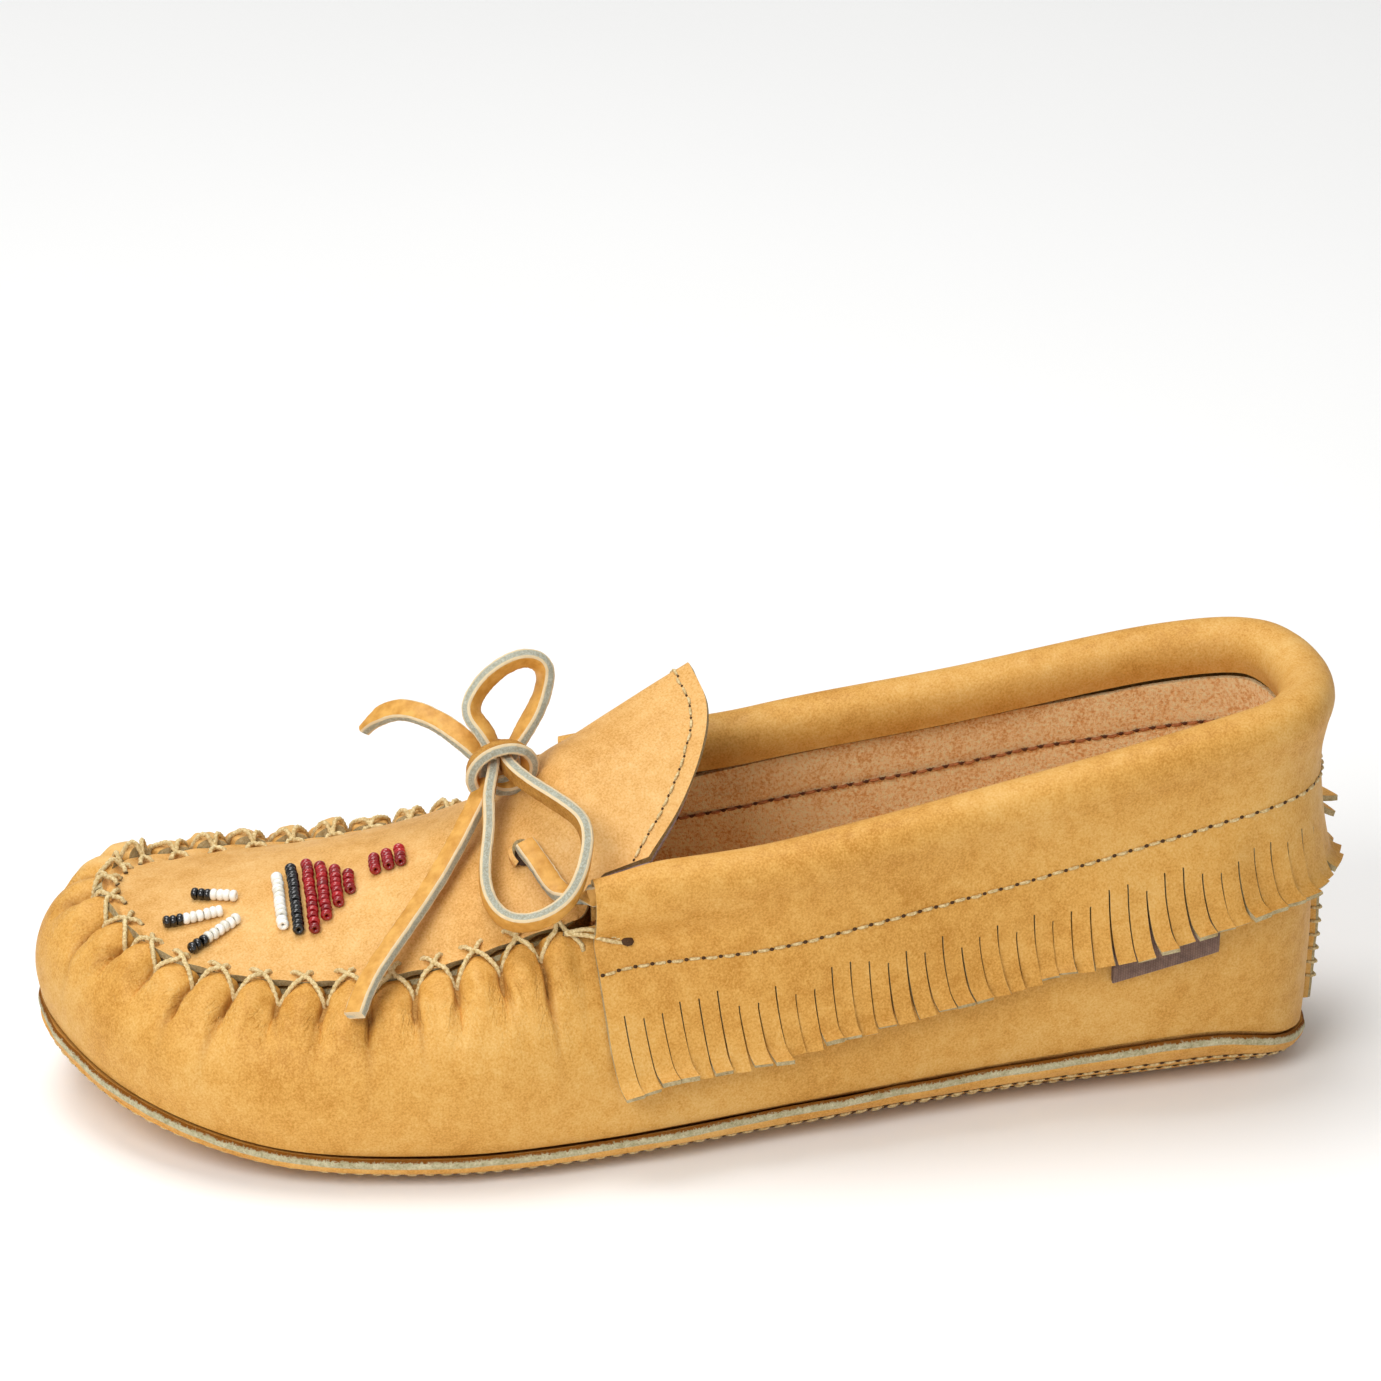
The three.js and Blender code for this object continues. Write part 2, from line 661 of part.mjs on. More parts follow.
function plugGrid(drop) {
  const rows = evenStations((s) => wallAt(s, 1), THROAT, TOE, PLUG_ROWS).stations;
  const opposite = evenStations((s) => wallAt(s, 1), -THROAT, -TOE, PLUG_ROWS).stations;
  return rows.map((s, i) =>
    range(0, 1, PLUG_COLUMNS).map((w) => {
      const point = arched(seamPoint(s), seamPoint(opposite[i]), w);
      point.z -= drop;
      return point;
    }));
}

const plug = () => plate(plugGrid(0), plugGrid(PLUG_THICK));

// The whip stitch round the plug: from a valley between two gathers, over the seam, into the plug.
function plugThread() {
  const radius = 0.55;
  const outer = halfStations(false, FINE).slice(QUARTER_SAMPLES);
  const inner = halfStations(true, FINE).slice(QUARTER_SAMPLES);
  const round = [...outer, ...inner.slice(0, -1).reverse()];
  const reach = 2.6;
  const inPlug = (s) => {
    const edge = seamPoint(s);
    const further = beside(s, -outlineValue(s, "inset") - reach, edge.z);
    const level = HEEL_Y - further.y;
    const half = Math.abs(seamPoint(s).x - seamPoint(-s).x) / 2;
    const crown = Math.max(0, heightAlong(PLUG_RIDGE, level) - edge.z);
    const inwards = clamp01(reach / Math.max(half, reach));
    further.z += crown * (1 - (1 - inwards) ** 2) + GAP + radius + 0.3;
    return further;
  };
  const over = (s) => wallAt(s, 1, PLUG_STEP + GAP + radius + 1.2);
  const inValley = (s) => wallAt(s, 0.87, GAP + radius + 0.9);
  const stitch = [inValley, over, inPlug, over];
  const points = round.slice(2, -1).map((s, i) => stitch[(i + 2) % stitch.length](s));
  return thread(points, radius);
}

const TONGUE_ROWS = 6;
const tongueCurve = new THREE.CatmullRomCurve3(placeAll(TONGUE_EDGE));

// A grid over the tongue, from its fold at the throat to its free edge, lowered by drop.
function tongueGrid(drop, from = 0, to = 1) {
  const foldGap = 0.5;
  const [outer, inner] = [seamPoint(THROAT), seamPoint(-THROAT)];
  const columns = range(0, 1, 10);
  const width = outer.x - inner.x;
  return range(from, to, TONGUE_ROWS).map((row) =>
    columns.map((w) => {
      const free = tongueCurve.getPointAt(w);
      const across = clamp01((outer.x + MIDDLE_X - mix(TONGUE_OUTER_X, TONGUE_INNER_X, w)) / width);
      const fold = arched(outer, inner, across);
      fold.y += foldGap;
      const point = fold.lerp(free, row);
      point.z -= drop;
      return point;
    }));
}

const tongue = () => plate(tongueGrid(0), tongueGrid(PLUG_THICK));

function tongueLining() {
  const top = PLUG_THICK + GAP + 0.2;
  return plate(tongueGrid(top, 0.08, 0.97), tongueGrid(top + TONGUE_LINING_THICK, 0.08, 0.97));
}

// The stitching that holds the lining, three millimetres inside the tongue's free edge.
function tongueThread() {
  const radius = 0.4;
  const rowInside = tongueGrid(-GAP - radius - 0.5)[TONGUE_ROWS - 1];
  return thread(rowInside.slice(1, -1), radius);
}

// ---- Collar and fringe ----
const FLAP_OFF = 1.2; // from the wall's surface to the strip's middle line

// Middle line of the collar strip: below the roll it lies on the wall; offsets are [off, below crest].
const FLAP = [[FLAP_OFF, SLIT_BELOW_CREST], [FLAP_OFF, STITCH_BELOW_CREST], [1.7, 15]];
const ROLL = [[3.2, 9.4], [4.2, 5], [2.8, 1.7], [-0.8, 0.6], [-4.4, 2.3], [-5.6, 5.6], [-4.6, 9.4]];

// How far the fringe is held off the wall by the tab that hangs under it.
const TAB_FROM = 1.93;
const TAB_TO = 2.5;
const TAB_LIFT = 1.6;
const TAB_EASE = 0.35; // stations over which the fringe comes back to the wall beside the tab
const tabLift = (s) =>
  TAB_LIFT * smooth(TAB_FROM - TAB_EASE, TAB_FROM, s) * (1 - smooth(TAB_TO, TAB_TO + TAB_EASE, s));

// The roll is moved out at the throat, where the rim below it has gone in.
const rollShift = (s) => 3 * smooth(4, THROAT, fromHeel(s));

function collarMiddle(s) {
  const crest = crestAt(s);
  const flap = FLAP.map(([off, below], k) => {
    const point = wallAtHeight(s, crest - below, off + (k ? 0 : tabLift(s)));
    return { out: outOf(s, point), z: point.z };
  });
  const rim = -outlineValue(s, "inset") + rollShift(s);
  return [...flap, ...ROLL.map(([off, below]) => ({ out: rim + off, z: crest - below }))];
}

// Both faces of the collar strip at a station, as [out, z] pairs.
function collarFaces(s) {
  const line = collarMiddle(s);
  const last = line.length - 1;
  const face = (side) => line.map((p, k) => {
    const [a, b] = [line[Math.max(0, k - 1)], line[Math.min(last, k + 1)]];
    const length = Math.hypot(b.out - a.out, b.z - a.z);
    const off = (side * COLLAR_THICK) / 2 / length;
    return [p.out + (b.z - a.z) * off, p.z - (b.out - a.out) * off];
  });
  return [...face(1), ...face(-1).reverse()];
}

function collarStrip() {
  const sections = range(COLLAR_END, -COLLAR_END, 32).map((s) =>
    collarFaces(s).map(([out, z]) => beside(s, out, z)));
  return loft(sections, capOf(collarFaces(COLLAR_END)));
}

// How far a fringe strand stands off the wall: it falls free at its end, most at the heel.
const flare = (s) => 1.6 + 2 * (1 - smooth(0, 1.5, Math.abs(s)));

// One strand between two stations, lapped into the strip above it.
function fringeStrand(from, to) {
  const thick = COLLAR_THICK - 0.2;
  const levels = [
    { below: SLIT_BELOW_CREST - 2, off: 0 },
    { below: FRINGE_BELOW_CREST, off: 1 },
  ];
  const sections = levels.map(({ below, off }) => {
    const corner = (s, outside) => {
      const lift = tabLift(s) * smooth(SLIT_BELOW_CREST - 8, SLIT_BELOW_CREST, below);
      const inner = FLAP_OFF - thick / 2 + off * flare(s) + lift;
      return wallAtHeight(s, crestAt(s) - below, inner + (outside ? thick : 0));
    };
    return [corner(from, false), corner(to, false), corner(to, true), corner(from, true)];
  });
  return loft(sections, capOf([[0, 0], [1, 0], [1, 1], [0, 1]]));
}

function collarFringe() {
  const slitLine = (s) => wallAtHeight(s, crestAt(s) - SLIT_BELOW_CREST);
  const length = evenStations(slitLine, COLLAR_END, -COLLAR_END, 1).total;
  const count = Math.round(length / FRINGE_PITCH);
  const edges = evenStations(slitLine, COLLAR_END, -COLLAR_END, count).stations;
  const trim = (FRINGE_SLIT / 2) / FRINGE_PITCH;
  const strands = edges.slice(1).map((to, i) => {
    const from = edges[i];
    return fringeStrand(mix(from, to, trim), mix(from, to, 1 - trim));
  });
  return joined([collarStrip(), ...strands]);
}

function collarThread() {
  const radius = 0.4;
  const off = FLAP_OFF + COLLAR_THICK / 2 + GAP + radius + 0.15;
  const route = range(COLLAR_END - 0.03, 0.03 - COLLAR_END, 40).map((s) =>
    wallAtHeight(s, crestAt(s) - STITCH_BELOW_CREST, off));
  return thread(route, radius);
}

// The woven tab under the fringe, folded double.
function sideTab() {
  const thick = 1.2;
  const stations = range(TAB_FROM, TAB_TO, 3);
  const levels = range(FRINGE_BELOW_CREST + 6, SLIT_BELOW_CREST + 3, 3);
  const grid = (off) =>
    stations.map((s) => levels.map((below) => wallAtHeight(s, crestAt(s) - below, off)));
  return plate(grid(GAP + thick), grid(GAP));
}

// ---- Lace ----
// The lace lies in the collar's tunnel; each end comes out at the front and goes to a slit in the plug.
function laceInCollar() {
  const below = 4.4;
  const tunnel = range(COLLAR_END, -COLLAR_END, 30).map((s) =>
    beside(s, -outlineValue(s, "inset") + rollShift(s) - 0.7, crestAt(s) - below));
  const near = placeAll(NEAR_STRAND).reverse();
  const far = placeAll(FAR_STRAND);
  const flat = (side) => new THREE.Vector3(0, side, 0);
  const hints = [
    ...near.map(() => flat(1)),
    ...tunnel.map(() => UP),
    ...far.map(() => flat(-1)),
  ];
  return extrudeAlong([...near, ...tunnel, ...far], hints, laceSection());
}

function laceKnot() {
  const ball = new THREE.SphereGeometry(1, 12, 8);
  ball.deleteAttribute("normal");
  ball.deleteAttribute("uv");
  ball.scale(...KNOT_RADII);
  ball.translate(...place(...KNOT_CENTRE).toArray());
  return facingOut(mergeVertices(ball, 1e-4));
}

// ---- Beadwork: a plain stepped triangle, three bars and a small cluster ----
const BEAD_RADIUS = 1.05;

// A point on the plug's top at x and t, lifted by off.
function onPlug(x, t, off) {
  const station = (side) => {
    let [low, high] = [THROAT, TOE];
    for (let i = 0; i < 24; i++) {
      const middle = (low + high) / 2;
      if (HEEL_Y - seamPoint(middle * side).y < t) low = middle;
      else high = middle;
    }
    return ((low + high) / 2) * side;
  };
  const [outer, inner] = [seamPoint(station(1)), seamPoint(station(-1))];
  const w = (outer.x + MIDDLE_X - x) / (outer.x - inner.x);
  const point = arched(outer, inner, w);
  return place(x, t, point.z + off);
}

// Beads along a route over the plug given by its corners as [x, t].
function beadsAlong(corners) {
  const flat = corners.map(([x, t]) => new THREE.Vector3(x, t, 0));
  const points = [];
  for (let i = 0; i + 1 < flat.length; i++) {
    const length = flat[i].distanceTo(flat[i + 1]);
    const steps = 2 * Math.max(1, Math.round(length / BEAD));
    range(0, 1, steps).slice(i ? 1 : 0).forEach((w) => points.push(flat[i].clone().lerp(flat[i + 1], w)));
  }
  const lift = BEAD_RADIUS + GAP + 0.25;
  return beadRow(points.map((p) => onPlug(p.x, p.y, lift)), BEAD_RADIUS);
}

// Rows of beads laid to and fro, each row a { t, from, to } across the plug.
const beadsToAndFro = (rows) =>
  beadsAlong(rows.flatMap(({ t, from, to }, i) => (i % 2 ? [[to, t], [from, t]] : [[from, t], [to, t]])));

const ROW = 2.5; // from one row of beads to the next
const stepped = (t, widths, middle) =>
  widths.map((width, i) => ({ t: t + i * ROW, from: middle - width / 2, to: middle + width / 2 }));

// ---- Materials ----
const finish = (color, roughness, metalness = 0) =>
  new THREE.MeshStandardMaterial({ color, roughness, metalness });
const FINISH = {
  leather: finish(0xe4b469, 0.7),
  plugLeather: finish(0xf0c98a, 0.7),
  rawEdge: finish(0xb9aa80, 0.9),
  thread: finish(0xd7c396, 0.8),
  suede: finish(0xb9693c, 0.95),
  foam: finish(0xe8e2d0, 0.95),
  board: finish(0x8a6a48, 0.9),
  lining: finish(0xb4a8ae, 0.9),
  laceLeather: finish(0xc99a4e, 0.7),
  woven: finish(0x6e5041, 0.85),
  beadWhite: finish(0xf4f2ec, 0.25),
  beadBlack: finish(0x141414, 0.25),
  beadRed: finish(0x961419, 0.25),
};

// ---- Assembly ----
const moccasin = new THREE.Group();
moccasin.name = "moccasin";

function addTo(group, name, geometry, material) {
  const mesh = new THREE.Mesh(geometry, material);
  mesh.name = name;
  group.add(mesh);
}

function addGroup(name, pieces) {
  const group = new THREE.Group();
  group.name = name;
  pieces.forEach(([piece, geometry, material]) => addTo(group, piece, geometry, material));
  moccasin.add(group);
}

// Each loop or tail of the lace, from its route, its number of steps and the way its cut edge faces.
const freeLace = (route, steps, hint) => lace(placeAll(route), steps, hint);
const NEAR_LOOP_SIDE = new THREE.Vector3(0.55, 0, 0.84);
const NEAR_TAIL_SIDE = new THREE.Vector3(0.62, 0.75, 0.23);
const FAR_TAIL_SIDE = new THREE.Vector3(0.85, -0.11, -0.52);

addGroup("sole_unit", [
  ["outsole", outsole(), FINISH.leather],
  ["outsole_thread_outer", soleThread(2.5), FINISH.thread],
  ["outsole_thread_inner", soleThread(4.7), FINISH.thread],
  ["insole_foam", insoleFoam(), FINISH.foam],
  ["insole_sock", insoleSock(), FINISH.suede],
]);
addGroup("upper_unit", [
  ["wrap_upper", wrapUpper(), FINISH.leather],
  ["heel_seam_thread", heelSeamThread(), FINISH.thread],
  ["heel_counter", heelCounter(), FINISH.board],
  ["quarter_lining", quarterLining(), FINISH.suede],
  ["lining_thread", liningThread(), FINISH.thread],
  ["plug", plug(), FINISH.plugLeather],
  ["plug_thread", plugThread(), FINISH.thread],
]);
addGroup("tongue_unit", [
  ["tongue", tongue(), FINISH.plugLeather],
  ["tongue_lining", tongueLining(), FINISH.lining],
  ["tongue_thread", tongueThread(), FINISH.thread],
]);
addGroup("collar_unit", [
  ["collar_fringe", collarFringe(), FINISH.leather],
  ["collar_thread", collarThread(), FINISH.thread],
  ["side_tab", sideTab(), FINISH.woven],
]);
addGroup("lace_unit", [
  ["lace_in_collar", laceInCollar(), FINISH.laceLeather],
  ["lace_knot", laceKnot(), FINISH.laceLeather],
  ["lace_loop_near", freeLace(NEAR_LOOP, 22, NEAR_LOOP_SIDE), FINISH.laceLeather],
  ["lace_loop_upper", freeLace(UPPER_LOOP, 18, ALONG_X), FINISH.laceLeather],
  ["lace_tail_near", freeLace(NEAR_TAIL, 14, NEAR_TAIL_SIDE), FINISH.laceLeather],
  ["lace_tail_far", freeLace(FAR_TAIL, 10, FAR_TAIL_SIDE), FINISH.laceLeather],
]);
addGroup("beadwork", [
  ["bead_bar_outer", beadsAlong([[18, 221.5], [11, 211.7]]), FINISH.beadWhite],
  ["bead_bar_middle", beadsAlong([[9.5, 226], [8, 214.5]]), FINISH.beadWhite],
  ["bead_bar_inner", beadsAlong([[0.6, 220], [4.2, 211.5]]), FINISH.beadWhite],
  ["bead_step_white", beadsToAndFro(stepped(203.5, [16], 8)), FINISH.beadWhite],
  ["bead_step_black", beadsToAndFro(stepped(200.5, [20], 8)), FINISH.beadBlack],
  ["bead_step_red", beadsToAndFro(stepped(190, [6, 11, 16, 21], 8)), FINISH.beadRed],
  ["bead_cluster", beadsToAndFro(stepped(179.8, [5, 5, 5], 5)), FINISH.beadRed],
]);

export default moccasin;
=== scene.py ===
"""The looks of a left-foot moccasin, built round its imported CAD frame.

Lengths are in millimetres until a mesh is made. The toe points along -Y, +X is the shoe's outer side and
+Z is up. Along the shoe, t is the distance from the heel's back. A station is a place round the sole: 0 at
the heel's back, 9 at the toe, positive on the outer side. The CAD's own curves are repeated at a finer step.
"""
import math

import bmesh
import bpy
import numpy as np
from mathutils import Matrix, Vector, noise


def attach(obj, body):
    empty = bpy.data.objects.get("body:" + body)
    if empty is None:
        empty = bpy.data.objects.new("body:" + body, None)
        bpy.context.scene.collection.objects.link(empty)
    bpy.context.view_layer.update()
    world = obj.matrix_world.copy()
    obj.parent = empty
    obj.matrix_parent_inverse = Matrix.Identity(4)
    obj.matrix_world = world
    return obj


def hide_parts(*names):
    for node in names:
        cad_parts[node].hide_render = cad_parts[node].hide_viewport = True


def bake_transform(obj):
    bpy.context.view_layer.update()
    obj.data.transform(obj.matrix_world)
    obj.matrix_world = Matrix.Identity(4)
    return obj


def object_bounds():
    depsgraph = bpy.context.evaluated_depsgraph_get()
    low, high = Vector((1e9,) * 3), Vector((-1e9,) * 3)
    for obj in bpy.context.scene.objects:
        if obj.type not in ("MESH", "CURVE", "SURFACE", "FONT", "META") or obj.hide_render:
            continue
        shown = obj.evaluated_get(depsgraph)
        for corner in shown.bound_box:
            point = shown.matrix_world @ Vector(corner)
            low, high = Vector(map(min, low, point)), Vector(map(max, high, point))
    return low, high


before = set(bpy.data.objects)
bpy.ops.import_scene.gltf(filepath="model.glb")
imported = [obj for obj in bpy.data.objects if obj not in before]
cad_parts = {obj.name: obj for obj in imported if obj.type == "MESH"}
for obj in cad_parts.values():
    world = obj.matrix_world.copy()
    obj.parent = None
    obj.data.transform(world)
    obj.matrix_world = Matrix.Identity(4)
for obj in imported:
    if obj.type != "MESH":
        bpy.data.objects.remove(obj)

CAD_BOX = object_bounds()
MM = 0.001
SEED = 7
random = np.random.default_rng(SEED)

# ---- Dimensions, as in the CAD model ----
HEEL_Y = 123.1
MIDDLE_X = 2
SOLE_THICK = 3.2
SOLE_MARGIN = 14
WRAP_THICK = 1.6
WRAP_UNDER = 9
GAP = 0.3
PLUG_THICK = 1.8
PLUG_STEP = 1
TONGUE_LINING_THICK = 1
FOAM_THICK = 3
SOCK_THICK = 1.2
LINING_THICK = 1
COUNTER_THICK = 1.2
COLLAR_THICK = 1.2
LAYER_GAP = 0.7
LAYER_INSET = 4.4
OVER_WRAP = GAP + WRAP_THICK + 0.45
WALL_BELOW_CREST = 8
STITCH_BELOW_CREST = 20
SLIT_BELOW_CREST = 27
FRINGE_BELOW_CREST = 41
THROAT = 5
COLLAR_END = 4.95
TOE = 9
PUCKERS = 13
LACE_WIDTH = 4
LACE_THICK = 2.2
BEAD_ROW = 2.5
TAB_FROM = 1.93
TAB_TO = 2.5
TOE_BELLY = 2.5  # the wall bellies out less round the toe than beside it
FOLD_Z = 0.0705  # the tongue's hinge, in metres
FOLD_REACH = (-3, 6)  # the leather bends from here to here behind the fold
TAB_LIFT = 1.6
TAB_EASE = 0.35
FLAP_OFF = 1.2
THROAT_RISE = 4  # the collar stands this much higher at the throat
THROAT_SHIFT = 3  # and this much further out
HOLE_V = 0.88  # the seam's stitch holes, as a part of the wall's section
WALL_LENGTH = 34  # the gathered wall's section, roughly
PUCKER_PITCH = 7.4
RIDGE_RISE = 2.8  # the gathers' ridges over their valleys
VALLEY_DROP = 1.6
INNER_RIM_RISE = 2.0
CREASE_DEPTH = 2.1
CREASE_WIDTH = 0.45
PLUG_WAVE = 0.45
TONGUE_ROW = 3.2  # from the tongue's free edge to its stitches
SEAM_THREAD_RADIUS = 0.47
TIED_THREAD_RADIUS = 0.45
HEEL_THREAD_RADIUS = 0.3
SEAM_THREAD_TWIST = (0.17, 2.0)  # how deep its ridges are, as a part of its radius, and their pitch
HEEL_THREAD_TWIST = (0.16, 1.6)
TIE_HOLE_BACK = 0.22  # in stations, from the throat
TIE_HOLE_BELOW_CREST = 15.6
SOLE_ROWS = {"outer": 2.5, "inner": 4.7}  # each row of stitches and how far inside the sole's edge it is
FLANGE_LOW = 8
FLANGE_HIGH = 36
FLANGE_HALF = 1.7
BEAD_LENGTH = 1.36
BEAD_LIFT = 1.15
KNOT_RADIUS = 5.5
KNOT_INNER_RADIUS = 3.1

STRAND_PITCH = 3.75
STRAND_SLIT = 0.28
STRAY_STATION = -0.5  # the strand that stands out at the back of the heel
CURL_FROM = 0.72  # the strands' ends curl from here on, as a part of their length
CURL_PART = 0.28

# ---- Studio ----
WORLD_STRENGTH = 0.4
LIGHTS = [  # name, place in metres, size, power
    ("key", (0.5, -0.4, 0.6), 0.5, 3.9),
    ("top", (-0.35, -0.25, 1.5), 1.1, 14),
    ("fill", (1.3, 0.2, 0.5), 1.0, 1.5),
]

# ---- How finely things are made ----
VAMP_COLUMNS = 61
PLUG_COUNT = PUCKERS * 8
STRAND_COLUMNS = 4
FRINGE_ROWS = 16
COLLAR_ROWS = 46
STITCH_SIDES = 6
THREAD_SIDES = 8
SHARP = 50  # degrees: an edge that turns more is shaded as an edge
ALL_SMOOTH = 180

# Stations round the sole's upper edge: t, x, the edge's height, and the wall's rim as inset and height.
OUTLINE = np.array([
    (0, 0, 5, 1, 72), (6, 20, 8, 1.5, 72.5), (26, 27, 12, 0.5, 70), (66, 31, 10, 1, 61.5),
    (106, 38.5, 8.5, 4, 54.5), (146, 46, 7, 15, 45), (178, 48, 6.6, 17, 37), (210, 42.5, 8.2, 16, 34.5),
    (236, 25.5, 14, 12.5, 37), (250, -3, 20, 13, 41), (241, -28, 18, 13, 39.5), (222, -39, 13, 13, 37.5),
    (190, -44, 7.2, 14, 37.5), (146, -39.5, 7, 10, 44), (106, -32, 9, 4, 54.5), (66, -30, 10, 2.5, 61),
    (26, -26, 12, 1, 69), (6, -19, 8, 1.5, 72),
])
FIELDS = ("t", "x", "edge", "inset", "top")
PLUG_RIDGE = np.array([(146, 69.5), (160, 58.5), (170, 53), (185, 48), (200, 44.5), (226, 41), (240, 42)])
TONGUE_EDGE = [
    (25.5, 134, 56.5), (18, 127, 63.5), (9, 121.5, 71.5), (0, 119.5, 77), (-11, 121.5, 80.8),
    (-19, 122, 75.5), (-24, 126, 68),
]
TONGUE_CORNER = 4  # the free edge turns sharply here
TONGUE_OUTER_X = 25.5
TONGUE_INNER_X = -24
KNOT_CENTRE = (2, 160, 66.5)
NEAR_LOOP = [
    (9.4, 163.5, 63.4), (12.8, 162.9, 60.6), (18.1, 164.2, 56.6), (25.1, 165.4, 51.4), (32, 162.5, 47.8),
    (35, 156.2, 48.8), (36, 150, 53.6), (34, 147, 60.6), (27.5, 146, 65), (19, 150.6, 66.2),
    (11, 156, 67.2),
]
UPPER_LOOP = [
    (0, 162.5, 73.4), (-2.5, 165.4, 75.6), (-4.5, 163.9, 79.2), (-6, 159.3, 83.5), (-8, 153.4, 85),
    (-8.2, 149.6, 82.6), (-6.5, 150.4, 78), (-4, 152.4, 75), (-2, 154, 73.4),
]
NEAR_TAIL = [
    (8, 165.6, 60.4), (10.8, 168, 57.4), (15, 171.4, 53.6), (21, 176.2, 49), (30, 184, 43), (38, 189.6, 39),
    (43, 192, 35.5),
]
FAR_TAIL = [
    (-3.6, 166.8, 70.4), (-6, 169.2, 71.8), (-9.5, 173.2, 73), (-13, 177.6, 73), (-15.5, 181.5, 70.8),
    (-17, 184.6, 67),
]
NEAR_STRAND = [(31.5, 148.4, 51.5), (27.5, 151.5, 51.6), (23, 154.5, 55), (18.5, 157, 57.6)]
FAR_STRAND = [(-30.5, 149, 51.5), (-27.5, 151.5, 52), (-23, 154.5, 55.2), (-18.5, 157, 57.7)]
# Middle line of the collar strip as (off, below the crest): the flap is on the wall, the roll on the rim.
FLAP = [(FLAP_OFF, SLIT_BELOW_CREST), (FLAP_OFF, STITCH_BELOW_CREST), (1.7, 15)]
ROLL = [(3.2, 9.4), (4.2, 5), (2.8, 1.7), (-0.8, 0.6), (-4.4, 2.3), (-5.6, 5.6), (-4.6, 9.4)]
# The woven tab's section as (off, below the crest), from its outer end down and back up.
TAB_FOLD = [
    (1.75, 30), (1.7, 34), (1.68, 40), (1.62, 45), (1.45, 46.4), (1.0, 46.8), (0.6, 46.2), (0.5, 44),
    (0.45, 36),
]


# ---- Numbers ----
def mix(a, b, w):
    """From a to b as w goes from 0 to 1."""
    return a + (b - a) * w


def smooth(start, end, value):
    """Eases from 0 at start to 1 at end."""
    w = np.clip((np.asarray(value, float) - start) / (end - start), 0, 1)
    return w * w * (3 - 2 * w)


def place(x, t, z):
    """Points from x across, t from the heel's back and height z."""
    across, along = np.asarray(x, float) - MIDDLE_X, HEEL_Y - np.asarray(t, float)
    return np.stack(np.broadcast_arrays(across, along, z), -1)


def place_all(points):
    x, t, z = np.array(points, float).T
    return place(x, t, z)


def unit(vectors):
    length = np.linalg.norm(vectors, axis=-1, keepdims=True)
    return vectors / np.maximum(length, 1e-9)


def bell(value):
    """One in the middle, falling off to nothing on both sides."""
    return np.exp(-(value**2))


def catmull_rom(a, b, c, d, w):
    """Between b and c at w, on the smooth curve that also runs through a and d."""
    bend = (2 * a - 5 * b + 4 * c - d) * w**2 + (3 * b - a - 3 * c + d) * w**3
    return 0.5 * (2 * b + (c - a) * w + bend)


def curve_through(points, count):
    """A smooth curve through points, at count places evenly spaced along it."""
    points = np.asarray(points, float)
    ends = np.concatenate([[2 * points[0] - points[1]], points, [2 * points[-1] - points[-2]]])
    w = np.linspace(0, 1, 24, endpoint=False)[:, None]
    spans = [catmull_rom(*ends[i : i + 4], w) for i in range(len(points) - 1)]
    return even_line(np.concatenate(spans + [points[-1:]]), count)


def line_lengths(points):
    """The distance along a line to each of its points."""
    steps = np.linalg.norm(np.diff(points, axis=0), axis=1)
    return np.concatenate([[0], np.cumsum(steps)])


def read_at(wanted, known, values):
    """Each column of values, read off where known reaches wanted."""
    return np.stack([np.interp(wanted, known, column) for column in values.T], -1)


def even_line(points, count):
    """The same line with its points evenly spaced."""
    lengths = line_lengths(points)
    return read_at(np.linspace(0, lengths[-1], count), lengths, points)


def spot(a, b, c=0.0):
    """Points from numbers or arrays of their three coordinates."""
    return np.stack(np.broadcast_arrays(np.asarray(a, float), b, c), -1)


def cloud(points, size, seed=0):
    """Smooth noise from -1 to 1 at each point, with features about size millimetres across."""
    points = np.asarray(points, float)
    shift = np.array([seed * 17.3, seed * 5.1, seed * 9.7])
    flat = (points / size + shift).reshape(-1, 3)
    return np.array([noise.noise(p) for p in flat]).reshape(points.shape[:-1])


# ---- The shoe's surfaces ----
def outline(station, field):
    """One column of the sole's outline, smoothly between its rows."""
    station = np.asarray(station, float)
    low = np.floor(station).astype(int)
    column = OUTLINE[:, FIELDS.index(field)]
    around = [column[(low + k) % len(column)] for k in (-1, 0, 1, 2)]
    return catmull_rom(*around, station - low)


def outline_normal(station):
    """Outward direction of the outline in plan, as (x, t)."""
    step = 0.01
    dx = outline(station + step, "x") - outline(station - step, "x")
    dt = outline(station + step, "t") - outline(station - step, "t")
    length = np.hypot(dx, dt)
    return dt / length, -dx / length


def beside(station, out, z):
    """A point at a station, out beyond the sole's edge (inside when negative), at height z."""
    station = np.asarray(station, float)
    nx, nt = outline_normal(station)
    return place(outline(station, "x") + nx * out, outline(station, "t") + nt * out, z)


def out_of(station, point):
    """How far out a point lies from the sole's edge at a station, in plan."""
    nx, nt = outline_normal(station)
    dx = point[..., 0] + MIDDLE_X - outline(station, "x")
    dt = HEEL_Y - point[..., 1] - outline(station, "t")
    return dx * nx + dt * nt


def outward_of(stations):
    """The outline's outward directions as level vectors."""
    nx, nt = outline_normal(stations)
    return np.stack([nx, -nt, 0 * nx], -1)


def from_heel(station):
    """Stations from the heel along the nearer side, so 0 to 9 on both sides."""
    return np.minimum(np.abs(station), np.abs(len(OUTLINE) - station))


def spring(t):
    """How high the sole's underside lifts towards the toe."""
    ball_t, toe_t, rise = 175, 250, 13
    return rise * np.clip((t - ball_t) / (toe_t - ball_t), 0, 1) ** 1.7


